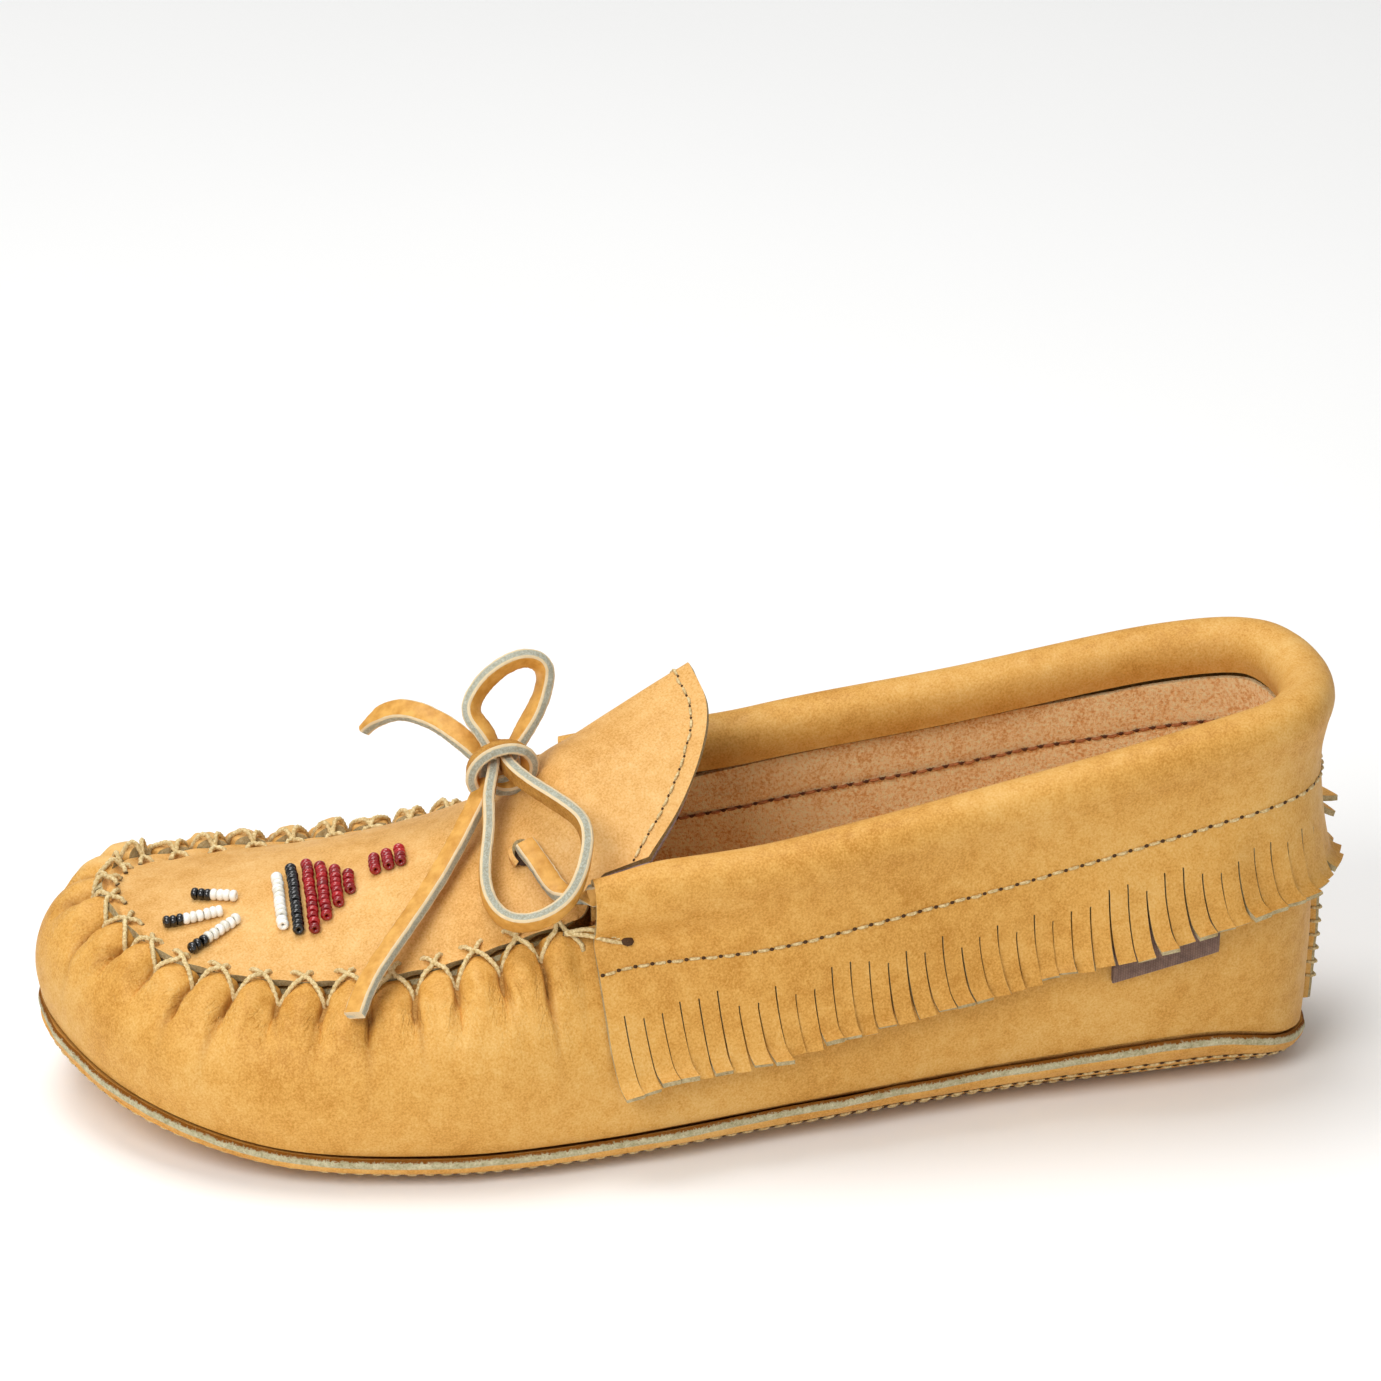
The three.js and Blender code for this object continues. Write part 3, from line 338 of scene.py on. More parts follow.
def underside(station, inside):
    """The height of the sole's lower face: flat in the middle, its margin turned up."""
    nt = outline_normal(station)[1]
    base = spring(outline(station, "t") - nt * inside)
    margin = outline(station, "edge") - SOLE_THICK - spring(outline(station, "t"))
    return base + margin * np.clip(1 - inside / SOLE_MARGIN, 0, 1) ** 2


def sole_top(station, inside):
    return underside(station, inside) + SOLE_THICK


def wall_handles(station):
    """The wall's section as a curve's four handles (out, z): sole edge, belly, shoulder and rim."""
    forefoot = smooth(4.3, 5.7, from_heel(station))
    edge = outline(station, "edge") + 0.35
    top = outline(station, "top")
    inset = outline(station, "inset")
    height = top - edge
    quarter_belly = mix(1.5, 4.5, smooth(0, 2, from_heel(station)))
    forefoot_belly = mix(7, TOE_BELLY, smooth(7, 8.7, from_heel(station)))
    belly = (mix(quarter_belly, forefoot_belly, forefoot), edge + height * mix(0.4, 0.72, forefoot))
    shoulder = (mix(1.5 - inset, -0.4 * inset, forefoot), top - height * mix(0.35, 0.04, forefoot))
    return (-0.4 + 0 * edge, edge), belly, shoulder, (-inset, top)


def wall_section(station, v):
    """Where the wall's section is at v, as (out, z), and its unit direction there."""
    handles = wall_handles(station)
    u = 1 - v
    point, slope = [], []
    for k in (0, 1):
        a, b, c, d = (handle[k] for handle in handles)
        point.append(u**3 * a + 3 * u * u * v * b + 3 * u * v * v * c + v**3 * d)
        slope.append(3 * u * u * (b - a) + 6 * u * v * (c - b) + 3 * v * v * (d - c))
    length = np.hypot(*slope)
    return point[0], point[1], slope[0] / length, slope[1] / length


def wall_at(station, v, off=0):
    """A point of the wall, v of the way up its section and off it by off."""
    station, v, off = np.broadcast_arrays(np.asarray(station, float), v, off)
    out, z, slope_out, slope_z = wall_section(station, v)
    return beside(station, out + off * slope_z, z - off * slope_out)


def wall_v(station, z):
    """How far up its section the wall reaches height z, found by halving."""
    station, z = np.broadcast_arrays(np.asarray(station, float), z)
    low, high = np.zeros(z.shape), np.ones(z.shape)
    for _ in range(24):
        middle = (low + high) / 2
        below = wall_section(station, middle)[1] < z
        low, high = np.where(below, middle, low), np.where(below, high, middle)
    return (low + high) / 2


def wall_at_height(station, z, off=0):
    """A point of the wall at height z, off it by off."""
    return wall_at(station, wall_v(station, z), off)


def crest(station):
    """The height of the collar's roll."""
    return outline(station, "top") + WALL_BELOW_CREST + THROAT_RISE * smooth(4, THROAT, from_heel(station))


def even_stations(curve, start, end, count):
    """Stations from start to end at even distances along a curve."""
    fine = np.linspace(start, end, 1200)
    lengths = line_lengths(curve(fine))
    return np.interp(np.linspace(0, lengths[-1], count + 1), lengths, fine)


def rim(station):
    """A point of the wall's rim."""
    return wall_at(station, 1)


def phase_table(side):
    """Stations along one side of the seam, and the pucker phase at each."""
    stations = np.linspace(THROAT, TOE, 1200)
    lengths = line_lengths(rim(stations * side))
    return stations, PUCKERS * lengths / lengths[-1]


PHASES = {1: phase_table(1), -1: phase_table(-1)}


def pucker_phase(station):
    """Seam position in puckers from the throat; 0 along the opening and whole at each stitch hole."""
    station = np.asarray(station, float)
    wrapped = np.where(station > TOE, station - len(OUTLINE), station)
    outer = np.interp(wrapped, *PHASES[1])
    inner = np.interp(-wrapped, *PHASES[-1])
    return np.where(wrapped >= 0, outer, inner)


def station_of_phase(phase, side):
    """The station at which the seam's phase is reached on one side."""
    stations, phases = PHASES[side]
    return side * np.interp(phase, phases, stations)


def ring_stations(quarter, gathered):
    """Stations all round: so many along each side of the opening, and along each side of the seam."""
    outer = np.concatenate([
        np.linspace(0, THROAT, quarter, endpoint=False), even_stations(rim, THROAT, TOE, gathered)])
    inner = np.concatenate([
        np.linspace(0, -THROAT, quarter, endpoint=False), even_stations(rim, -THROAT, -TOE, gathered)])
    return np.concatenate([outer, inner[1:-1][::-1]])


# ---- Meshes ----
def grid_faces(rows, columns, close_rows=False, close_columns=False, keep=None):
    """Quads over a grid of points, as an array of corner numbers."""
    i = np.arange(rows if close_rows else rows - 1)[:, None]
    j = np.arange(columns if close_columns else columns - 1)[None, :]
    next_i, next_j = (i + 1) % rows, (j + 1) % columns
    corners = [i * columns + j, i * columns + next_j, next_i * columns + next_j, next_i * columns + j]
    quads = np.stack(np.broadcast_arrays(*corners), -1)
    return quads.reshape(-1, 4) if keep is None else quads[keep]


def faces_outward(points, faces):
    """Whether faces mostly point away from a line inside the shoe."""
    a, b, c = (points[faces[:, k]] for k in (0, 1, 2))
    normals = np.cross(b - a, c - a)
    middle = (a + b + c) / 3
    axis = np.stack([0 * middle[:, 0], np.clip(middle[:, 1], -75, 90), 0 * middle[:, 0] + 25], -1)
    return np.sum(normals * (middle - axis)) > 0


def turned(grid, faces, outward=True):
    """The faces, turned over where they don't point out of the shoe, or into it."""
    return faces if faces_outward(grid.reshape(-1, 3), faces) == outward else faces[:, ::-1]


def make_object(name, points, faces, materials, face_material=None, attributes=None, uv=None,
                sharp=SHARP, uv_name="UVMap"):
    """A mesh object from points in millimetres; attributes hold one value for each point."""
    mesh = bpy.data.meshes.new(name)
    mesh.from_pydata((np.asarray(points).reshape(-1, 3) * MM).tolist(), [], [list(f) for f in faces])
    for material in materials:
        mesh.materials.append(material)
    if face_material is not None:
        mesh.polygons.foreach_set("material_index", np.asarray(face_material, np.int32))
    for key, values in (attributes or {}).items():
        layer = mesh.attributes.new(key, "FLOAT", "POINT")
        layer.data.foreach_set("value", np.asarray(values, np.float32).ravel())
    if uv is not None:
        corners = np.zeros(len(mesh.loops), np.int32)
        mesh.loops.foreach_get("vertex_index", corners)
        corner_uv = np.asarray(uv, float).reshape(-1, 2)[corners]
        mesh.uv_layers.new(name=uv_name).data.foreach_set("uv", corner_uv.ravel())
    mesh.update()
    piece = bpy.data.objects.new(name, mesh)
    bpy.context.scene.collection.objects.link(piece)
    finish_shading(mesh, sharp)
    return piece


def finish_shading(mesh, sharp=SHARP):
    """Smooth faces, but for edges that turn by more than sharp degrees."""
    mesh.polygons.foreach_set("use_smooth", np.ones(len(mesh.polygons), bool))
    mesh.set_sharp_from_angle(angle=math.radians(sharp))


def apply_modifiers(piece):
    bpy.context.view_layer.update()
    evaluated = piece.evaluated_get(bpy.context.evaluated_depsgraph_get())
    mesh = bpy.data.meshes.new_from_object(evaluated)
    piece.modifiers.clear()
    piece.data = mesh
    finish_shading(mesh)


def thicken(piece, thick, offset=-1):
    """Gives a sheet its thickness; its back takes the second material and its cut edges the third."""
    solid = piece.modifiers.new("thickness", "SOLIDIFY")
    solid.thickness = thick * MM
    solid.offset = offset
    solid.use_even_offset = False
    solid.use_quality_normals = True
    solid.material_offset = 1
    solid.material_offset_rim = 2
    apply_modifiers(piece)


def sheet(name, grid, thick, materials, offset=-1, keep=None, attributes=None, uv=None):
    """A sheet of leather or cloth over a grid of points, with a cut edge all round."""
    faces = turned(grid, grid_faces(*grid.shape[:2], keep=keep))
    piece = make_object(name, grid, faces, materials, attributes=attributes, uv=uv)
    thicken(piece, thick, offset)
    return piece


def sewn_on(piece, slot, *nodes):
    """Puts a piece on the shoe's body, in the place of its CAD nodes where it has any."""
    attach(piece, "shoe")
    if nodes:
        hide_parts(*nodes)


def across_fold(piece, slot, *nodes):
    """Puts a piece across the tongue's fold: hides its CAD nodes and bakes its place into its mesh; the
    fold's two ends are worked out but not used.
    """
    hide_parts(*nodes)
    fold_y = HEEL_Y - outline(THROAT, "t")
    start, end = ((0, (fold_y + reach) * MM, FOLD_Z) for reach in FOLD_REACH)
    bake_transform(piece)
    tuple(start)
    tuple(end)


def joined_meshes(parts):
    """Several (points, faces, values) put together as one."""
    points, faces, values, start = [], [], [], 0
    for part_points, part_faces, part_values in parts:
        points.append(part_points.reshape(-1, 3))
        faces.append(part_faces + start)
        values.append(np.broadcast_to(part_values, len(points[-1])))
        start += len(points[-1])
    return np.concatenate(points), np.concatenate(faces), np.concatenate(values)


def frames_along(line, hint):
    """Side and top directions along a line, its top kept near the hint."""
    tangent = unit(np.gradient(line, axis=0))
    hint = np.broadcast_to(np.asarray(hint, float), line.shape)
    top = unit(hint - np.sum(hint * tangent, -1, keepdims=True) * tangent)
    return np.cross(tangent, top), top


def carried_frames(line, hint=(0.1, 0.2, 1)):
    """Side and top directions along a line, with no twist of their own."""
    tangent = unit(np.gradient(line, axis=0))
    tops = []
    top = np.array(hint, float)
    for direction in tangent:
        top = top - np.dot(top, direction) * direction
        top = top / np.linalg.norm(top)
        tops.append(top)
    return np.cross(tangent, tops), np.array(tops)


def tube(line, radius, sides=8, ply=0.0, ply_pitch=2.0):
    """A closed thread round a line; ply gives it the ridges of two twisted yarns."""
    side, top = carried_frames(line)
    angles = np.linspace(0, 2 * np.pi, sides, endpoint=False)
    turn = 2 * np.pi * line_lengths(line)[:, None] / ply_pitch
    radius = np.broadcast_to(radius, len(line))[:, None] * (1 + ply * np.cos(2 * (angles - turn)))
    ring = line[:, None] + radius[..., None] * (
        side[:, None] * np.cos(angles)[None, :, None] + top[:, None] * np.sin(angles)[None, :, None])
    faces = grid_faces(len(line), sides, close_columns=True)
    return ring, faces


def stitch_row(line, normals, length, gap, radius, lift=0.25):
    """The parts of single stitches along a line on a surface, each diving into the leather at both ends."""
    lengths = line_lengths(line)
    count = int(lengths[-1] // (length + gap))
    u = np.linspace(0, 1, 7)
    parts = []
    for k in range(count):
        start = (k + 0.5) * lengths[-1] / count - length / 2 + random.normal(0, 0.05)
        wanted = start + u * length
        at = read_at(wanted, lengths, line)
        normal = unit(read_at(wanted, lengths, normals))
        rise = (lift + radius) * np.sin(np.pi * u) ** 0.45 - radius
        sway = random.normal(0, 0.07) * np.sin(np.pi * u)
        across = np.cross(normal, unit(np.gradient(at, axis=0)))
        route = at + normal * rise[:, None] + across * (sway + random.normal(0, 0.05))[:, None]
        ring, faces = tube(route, radius * (0.75 + 0.25 * np.sin(np.pi * u) ** 0.5), STITCH_SIDES)
        # painted shade: each stitch darkens towards its ends, where it dives into the leather
        parts.append((ring, faces, np.repeat(1 - np.sin(np.pi * u), STITCH_SIDES)))
    return parts


def painted_shade_disc(at, along, normal, radius):
    """A small disc of painted shade standing just off the leather, as one part of a mesh."""
    turns = np.linspace(0, 2 * np.pi, 8, endpoint=False)
    across = np.cross(normal, along)
    rings = []
    for size, lift in ((1.0, -0.1), (0.75, 0.11), (0.05, 0.15)):
        ring = along * np.cos(turns)[:, None] * 1.25 + across * np.sin(turns)[:, None]
        rings.append(at + ring * radius * size + normal * lift)
    # the disc takes the thread's full painted-shade colour
    return np.stack(rings), grid_faces(3, 8, close_columns=True), 1.0


def needle_holes(line, normals, pitch, radius):
    """Small discs of painted shade where the thread goes through the leather."""
    lengths = line_lengths(line)
    count = int(lengths[-1] // pitch)
    parts = []
    for wanted in np.arange(count + 1) * lengths[-1] / count:
        at, ahead, behind = (read_at(wanted + step, lengths, line) for step in (0, 0.5, -0.5))
        normal = unit(read_at(wanted, lengths, normals))
        parts.append(painted_shade_disc(at, unit(ahead - behind), normal, radius))
    return parts


def stitches(name, line, normals, length=2.3, gap=0.9, radius=0.33, lift=0.22, finish=None, hole=0.42):
    """A row of stitches with the needle holes, discs of painted shade, between them."""
    row = stitch_row(line, normals, length, gap, radius, lift)
    return thread_object(name, row + needle_holes(line, normals, length + gap, hole), finish)


def thread_object(name, parts, finish=None):
    """One object from the parts of a thread; each part's values say how much painted shade darkens it."""
    points, faces, dark = joined_meshes(parts)
    return make_object(name, points, faces, [finish or THREAD], attributes={"ends": dark}, sharp=ALL_SMOOTH)


def thread_part(line, radius, ply, ply_pitch, sharpness):
    """One length of twisted thread, with painted shade at its ends where it dives into the leather."""
    ring, faces = tube(line, radius, THREAD_SIDES, ply, ply_pitch)
    ends = np.abs(np.linspace(-1, 1, len(line))) ** sharpness
    return ring, faces, np.repeat(ends, THREAD_SIDES)


# ---- Materials ----
def linear(color):
    """Scene-linear RGBA from an sRGB colour of 0 to 255."""
    c = np.array(color, float) / 255
    rgb = np.where(c <= 0.04045, c / 12.92, ((c + 0.055) / 1.055) ** 2.4)
    return (*rgb, 1.0)


class Finish:
    """A material's nodes, with a short call for each kind used here."""

    def __init__(self, name):
        self.material = bpy.data.materials.new(name)
        self.material.use_nodes = True
        self.tree = self.material.node_tree
        self.surface = self.tree.nodes["Principled BSDF"]
        self.place = self.tree.nodes.new("ShaderNodeTexCoord").outputs["Object"]

    def node(self, kind, inputs, output=0, **settings):
        made = self.tree.nodes.new(kind)
        for key, value in settings.items():
            setattr(made, key, value)
        for key, value in inputs.items():
            if isinstance(value, bpy.types.NodeSocket):
                self.tree.links.new(value, made.inputs[key])
            else:
                made.inputs[key].default_value = value
        return made.outputs[output]

    def noise(self, size, detail=2, roughness=0.5, source=None, distortion=0):
        """Noise whose features are about size millimetres across."""
        return self.node("ShaderNodeTexNoise", {
            "Vector": source or self.place, "Scale": 1 / (size * MM), "Detail": detail,
            "Roughness": roughness, "Distortion": distortion}, "Fac")

    def cells(self, size):
        return self.node("ShaderNodeTexVoronoi", {"Vector": self.place, "Scale": 1 / (size * MM)}, "Distance")

    def attribute(self, name):
        return self.node("ShaderNodeAttribute", {}, "Fac", attribute_name=name)

    def maths(self, operation, a, b=0.0):
        return self.node("ShaderNodeMath", {0: a, 1: b}, operation=operation)

    def total(self, *weighted):
        """Values added up, each times its weight."""
        total, *others = (self.maths("MULTIPLY", value, weight) for value, weight in weighted)
        for other in others:
            total = self.maths("ADD", total, other)
        return total

    def between(self, value, low, high, to_low=0.0, to_high=1.0):
        return self.node("ShaderNodeMapRange", {
            "Value": value, "From Min": low, "From Max": high, "To Min": to_low, "To Max": to_high})

    def ramp(self, value, stops):
        """Colours along a value, as (position, sRGB colour) pairs."""
        made = self.tree.nodes.new("ShaderNodeValToRGB")
        elements = made.color_ramp.elements
        while len(elements) < len(stops):
            elements.new(0.5)
        for element, (position, color) in zip(elements, stops):
            element.position = position
            element.color = linear(color)
        self.tree.links.new(value, made.inputs["Fac"])
        return made.outputs["Color"]

    def blend(self, factor, a, b):
        return self.node("ShaderNodeMixRGB", {"Fac": factor, "Color1": a, "Color2": b})

    def bump(self, height, depth, strength=1.0, normal=None):
        """A bump whose full height is depth millimetres."""
        inputs = {"Height": height, "Distance": depth * MM, "Strength": strength}
        if normal is not None:
            inputs["Normal"] = normal
        return self.node("ShaderNodeBump", inputs, "Normal")

    def wear(self, color=None, roughness=None, normal=None, **values):
        """Sets the surface: linked sockets, and plain numbers on the shader's own sockets."""
        linked = {"Base Color": color, "Roughness": roughness, "Normal": normal}
        for key, socket in linked.items():
            if socket is not None:
                self.tree.links.new(socket, self.surface.inputs[key])
        for key, value in values.items():
            self.surface.inputs[key.replace("_", " ")].default_value = value
        return self.material


def leather(name, light, middle, deep):
    """Smooth soft hide: fine pores, faint clouding, painted shade in the hollows of the gathers and painted
    light on their ridges.
    """
    f = Finish(name)
    clouding, blotches, pores = f.noise(26, 4, 0.55), f.noise(3.5, 3, 0.6), f.noise(0.42, 2, 0.6)
    tone = f.total((clouding, 0.3), (blotches, 0.2), (pores, 0.35))
    color = f.ramp(tone, [(0.31, deep), (0.425, middle), (0.54, light)])
    # painted shade: the gathers' hollows, and the plug's dents where its stitches pull, darken towards dark
    # brown
    painted_hollow_shade = f.between(f.attribute("painted_hollow_shade"), 0, 1, 0, 0.75)
    color = f.blend(painted_hollow_shade, color, linear((134, 82, 26)))
    # painted light: the gathers' ridges lighten towards a lit tan
    painted_ridge_light = f.between(f.attribute("painted_ridge_light"), 0, 1, 0, 0.35)
    color = f.blend(painted_ridge_light, color, linear((240, 204, 142)))
    grain = f.total((f.cells(0.75), 0.5), (f.noise(0.4, 2), 0.6), (f.noise(1.8, 4, 0.6), 0.7))
    normal = f.bump(grain, 0.07, 0.5)
    normal = f.bump(f.noise(7, 3, 0.5), 0.5, 0.3, normal)
    fan = f.node("ShaderNodeUVMap", {}, uv_map="Fan")
    streaks = f.node("ShaderNodeTexNoise", {"Vector": fan, "Scale": 1.0, "Detail": 4, "Roughness": 0.6},
                     "Fac", noise_dimensions="2D")
    off_line = f.maths("ABSOLUTE", f.maths("SUBTRACT", streaks, 0.5))
    wrinkle = f.maths("MULTIPLY", f.between(off_line, 0, 0.09), f.attribute("wrinkled"))
    normal = f.bump(wrinkle, 0.45, 0.55, normal)
    roughness = f.between(f.noise(2.2, 3), 0.3, 0.7, 0.5, 0.66)
    return f.wear(color, roughness, normal, Specular_IOR_Level=0.24)


def raw_edge(name, light, deep, top_band=None):
    """A cut leather edge: loose fibres, greyer than the grain side."""
    f = Finish(name)
    fibres = f.noise(0.5, 5, 0.7, distortion=0.6)
    tone = f.total((fibres, 0.65), (f.noise(2.4, 3, 0.6), 0.35))
    color = f.ramp(tone, [(0.36, deep), (0.62, light)])
    # a darker brown band along the top of the edge, where a colour is given for it
    if top_band is not None:
        uneven = f.between(fibres, 0.3, 0.7, -0.15, 0.15)
        top = f.between(f.maths("ADD", f.attribute("edge_height"), uneven), 0.76, 0.86)
        color = f.blend(top, color, linear(top_band))
    normal = f.bump(f.maths("ADD", fibres, f.noise(0.25, 2)), 0.22, 0.8)
    return f.wear(color, None, normal, Roughness=0.92, Specular_IOR_Level=0.15)


def suede(name, light, middle, deep):
    """Napped split leather: short tufts that catch the light, brushed into lighter and darker patches."""
    f = Finish(name)
    tufts = f.noise(0.7, 4, 0.75, distortion=0.4)
    tone = f.total((tufts, 0.75), (f.noise(7, 3, 0.6), 0.25))
    color = f.ramp(tone, [(0.4, deep), (0.5, middle), (0.6, light)])
    normal = f.bump(f.maths("ADD", tufts, f.noise(0.3, 2)), 0.32, 0.9)
    return f.wear(color, None, normal, Roughness=1.0, Specular_IOR_Level=0.05, Sheen_Weight=0.45,
                  Sheen_Roughness=0.6, Sheen_Tint=linear((225, 150, 105)))


def thread_finish(name, light, deep, hole):
    """Waxed thread, with painted shade darkening it where it dives into its hole."""
    f = Finish(name)
    color = f.ramp(f.noise(0.5, 3, 0.6), [(0.35, deep), (0.65, light)])
    # painted shade: the thread darkens towards the hole colour where it dives into the leather
    ends = f.between(f.attribute("ends"), 0.45, 0.95)
    color = f.blend(ends, color, linear(hole))
    normal = f.bump(f.noise(0.22, 2), 0.06, 0.7)
    return f.wear(color, None, normal, Roughness=0.7, Specular_IOR_Level=0.3)


def lace_edge(name, border, light, deep):
    """The thong's cut edge: a blue-grey core of loose fibres between two pale borders."""
    f = Finish(name)
    fibres = f.noise(0.45, 5, 0.7, distortion=0.5)
    color = f.ramp(fibres, [(0.34, deep), (0.62, light)])
    frayed = f.maths("ADD", f.attribute("core"), f.between(fibres, 0.3, 0.7, -0.3, 0.3))
    color = f.blend(f.between(frayed, 0.45, 0.9), linear(border), color)
    normal = f.bump(f.maths("ADD", fibres, f.noise(0.25, 2)), 0.2, 0.8)
    return f.wear(color, None, normal, Roughness=0.92, Specular_IOR_Level=0.15)


def lace_face(name, light, deep):
    """The thong's grain side, a little glossy from handling."""
    f = Finish(name)
    color = f.ramp(f.noise(2.6, 4, 0.6), [(0.35, deep), (0.65, light)])
    height = f.total((f.noise(0.5, 3), 1.0), (f.noise(3, 3), 1.5))
    roughness = f.between(f.noise(1.5, 2), 0.3, 0.7, 0.42, 0.62)
    return f.wear(color, roughness, f.bump(height, 0.1, 0.6), Specular_IOR_Level=0.35)


def bead_finish(name, color, deep):
    """Opaque glass, each bead a little different from the next."""
    f = Finish(name)
    tint = f.blend(f.attribute("tint"), linear(deep), linear(color))
    normal = f.bump(f.noise(1.1, 1), 0.05, 0.4)
    return f.wear(tint, None, normal, Roughness=0.16, Specular_IOR_Level=0.6, Coat_Weight=0.35,
                  Coat_Roughness=0.06)


def woven_finish(name, light, deep):
    """A ribbed brown tape; its UV map is in millimetres."""
    f = Finish(name)
    uv = f.node("ShaderNodeTexCoord", {}, "UV")
    warp, weft = (
        f.node("ShaderNodeTexWave", {"Vector": uv, "Scale": scale, "Distortion": 0.4}, "Fac",
               bands_direction=way)
        for way, scale in (("X", 0.62), ("Y", 0.9)))
    weave = f.maths("MULTIPLY", warp, weft)
    color = f.ramp(f.total((weave, 0.3), (f.noise(1.2, 3), 0.6)), [(0.2, deep), (0.6, light)])
    return f.wear(color, None, f.bump(weave, 0.12, 0.6), Roughness=0.75, Sheen_Weight=0.2)


def cloth_finish(name, light, deep):
    """A plain fine cloth or foam."""
    f = Finish(name)
    color = f.ramp(f.noise(0.8, 4, 0.7), [(0.35, deep), (0.65, light)])
    return f.wear(color, None, f.bump(f.noise(0.4, 3), 0.12, 0.8), Roughness=0.95, Sheen_Weight=0.2)


def board_finish(name, light, deep):
    """Pressed fibreboard, its fibres running up the heel."""
    f = Finish(name)
    stretched = f.node("ShaderNodeMapping", {"Vector": f.place, "Scale": (1, 1, 0.3)})
    fibres = f.noise(1.5, 6, 0.7, source=stretched)
    return f.wear(f.ramp(fibres, [(0.35, deep), (0.65, light)]), None, f.bump(fibres, 0.1), Roughness=0.9)


UPPER = leather("upper_leather", (223, 178, 104), (211, 157, 76), (184, 126, 46))
PLUG = leather("plug_leather", (230, 188, 124), (219, 168, 97), (195, 140, 64))
SOLE = leather("sole_leather", (228, 180, 104), (214, 158, 78), (184, 124, 46))
FLESH = raw_edge("flesh_side", (196, 150, 84), (140, 94, 40))
EDGE = raw_edge("cut_edge", (204, 190, 150), (146, 122, 76))
# the sole's raw edge has a darker brown band along its top
SOLE_EDGE = raw_edge("sole_edge", (214, 206, 172), (150, 140, 102), top_band=(128, 76, 18))
# painted light: the suede's colours are made lighter than its own, standing in for light that hardly reaches
# inside the shoe
PAINTED_LIGHT_SUEDE = suede("suede", (252, 231, 182), (252, 213, 155), (224, 160, 96))
# the last colour of each thread is painted shade, for where it dives into its holes
THREAD = thread_finish("thread", (230, 210, 160), (186, 156, 100), (70, 44, 18))
LINING_THREAD = thread_finish("lining_thread", (190, 120, 72), (150, 86, 46), (84, 44, 22))
LACE = lace_face("lace_leather", (222, 168, 84), (196, 138, 56))
LACE_EDGE = lace_edge("lace_edge", (226, 204, 164), (190, 190, 174), (136, 136, 118))
LACE_BACK = raw_edge("lace_flesh", (206, 154, 76), (160, 106, 42))
LINING = cloth_finish("tongue_lining", (190, 172, 180), (140, 124, 132))
WOVEN = woven_finish("woven_tape", (136, 104, 86), (92, 66, 54))
FOAM = cloth_finish("insole_foam", (236, 230, 214), (206, 198, 176))
BOARD = board_finish("counter_board", (160, 128, 92), (112, 84, 56))
BEAD_WHITE = bead_finish("bead_white", (250, 248, 240), (226, 222, 208))
BEAD_BLACK = bead_finish("bead_black", (26, 24, 24), (10, 9, 9))
BEAD_RED = bead_finish("bead_red", (176, 20, 26), (126, 8, 14))
# painted shadow: a dark disc standing in for the shade inside the lace's slit
SLIT_SHADOW_FINISH = cloth_finish("slit_shadow", (70, 44, 20), (40, 24, 10))


# ---- Camera ----
def aim_camera():
    """A long lens from the shoe's outer side, a little above; the shoe sits low in the picture."""
    azimuth, elevation, distance = math.radians(82.5), math.radians(24), 1.2
    box_to_target = Vector((-0.0021, -0.0005, 0.0364))
    low, high = CAD_BOX
    target = (low + high) / 2 + box_to_target
    level = math.cos(elevation)
    back = Vector((math.sin(azimuth) * level, -math.cos(azimuth) * level, math.sin(elevation)))
    data = bpy.data.cameras.new("camera")
    data.lens = 162
    data.sensor_width = 36
    data.clip_start = 0.1
    camera = bpy.data.objects.new("camera", data)
    camera.location = target + back * distance
    camera.rotation_mode = "QUATERNION"
    camera.rotation_quaternion = (-back).to_track_quat("-Z", "Y")
    bpy.context.scene.collection.objects.link(camera)
    bpy.context.scene.camera = camera


# ---- Lace ----
def lace_section():
    """The lace's section as (across, up), each side's material, and each corner's nearness to an edge's core.

    The faces are the grain (0), the cut edges (1) and the flesh side (2).
    """
    w, h, ease = LACE_WIDTH / 2, LACE_THICK / 2, 0.3
    top = [(w - ease, h), (w * 0.5, h + 0.08), (0, h + 0.1), (-w * 0.5, h + 0.08), (ease - w, h)]
    left = [(-w, h - ease), (-w - 0.04, h * 0.4), (-w - 0.04, -h * 0.4), (-w, ease - h)]
    bottom = [(ease - w, -h), (0, -h), (w - ease, -h)]
    right = [(w, ease - h), (w + 0.04, -h * 0.4), (w + 0.04, h * 0.4), (w, h - ease)]
    sides = [0] * 4 + [1] * 5 + [2] * 2 + [1] * 5
    core = [0] * 5 + [0.25, 1, 1, 0.25] + [0] * 3 + [0.25, 1, 1, 0.25]
    return np.array(top + left + bottom + right), sides, core


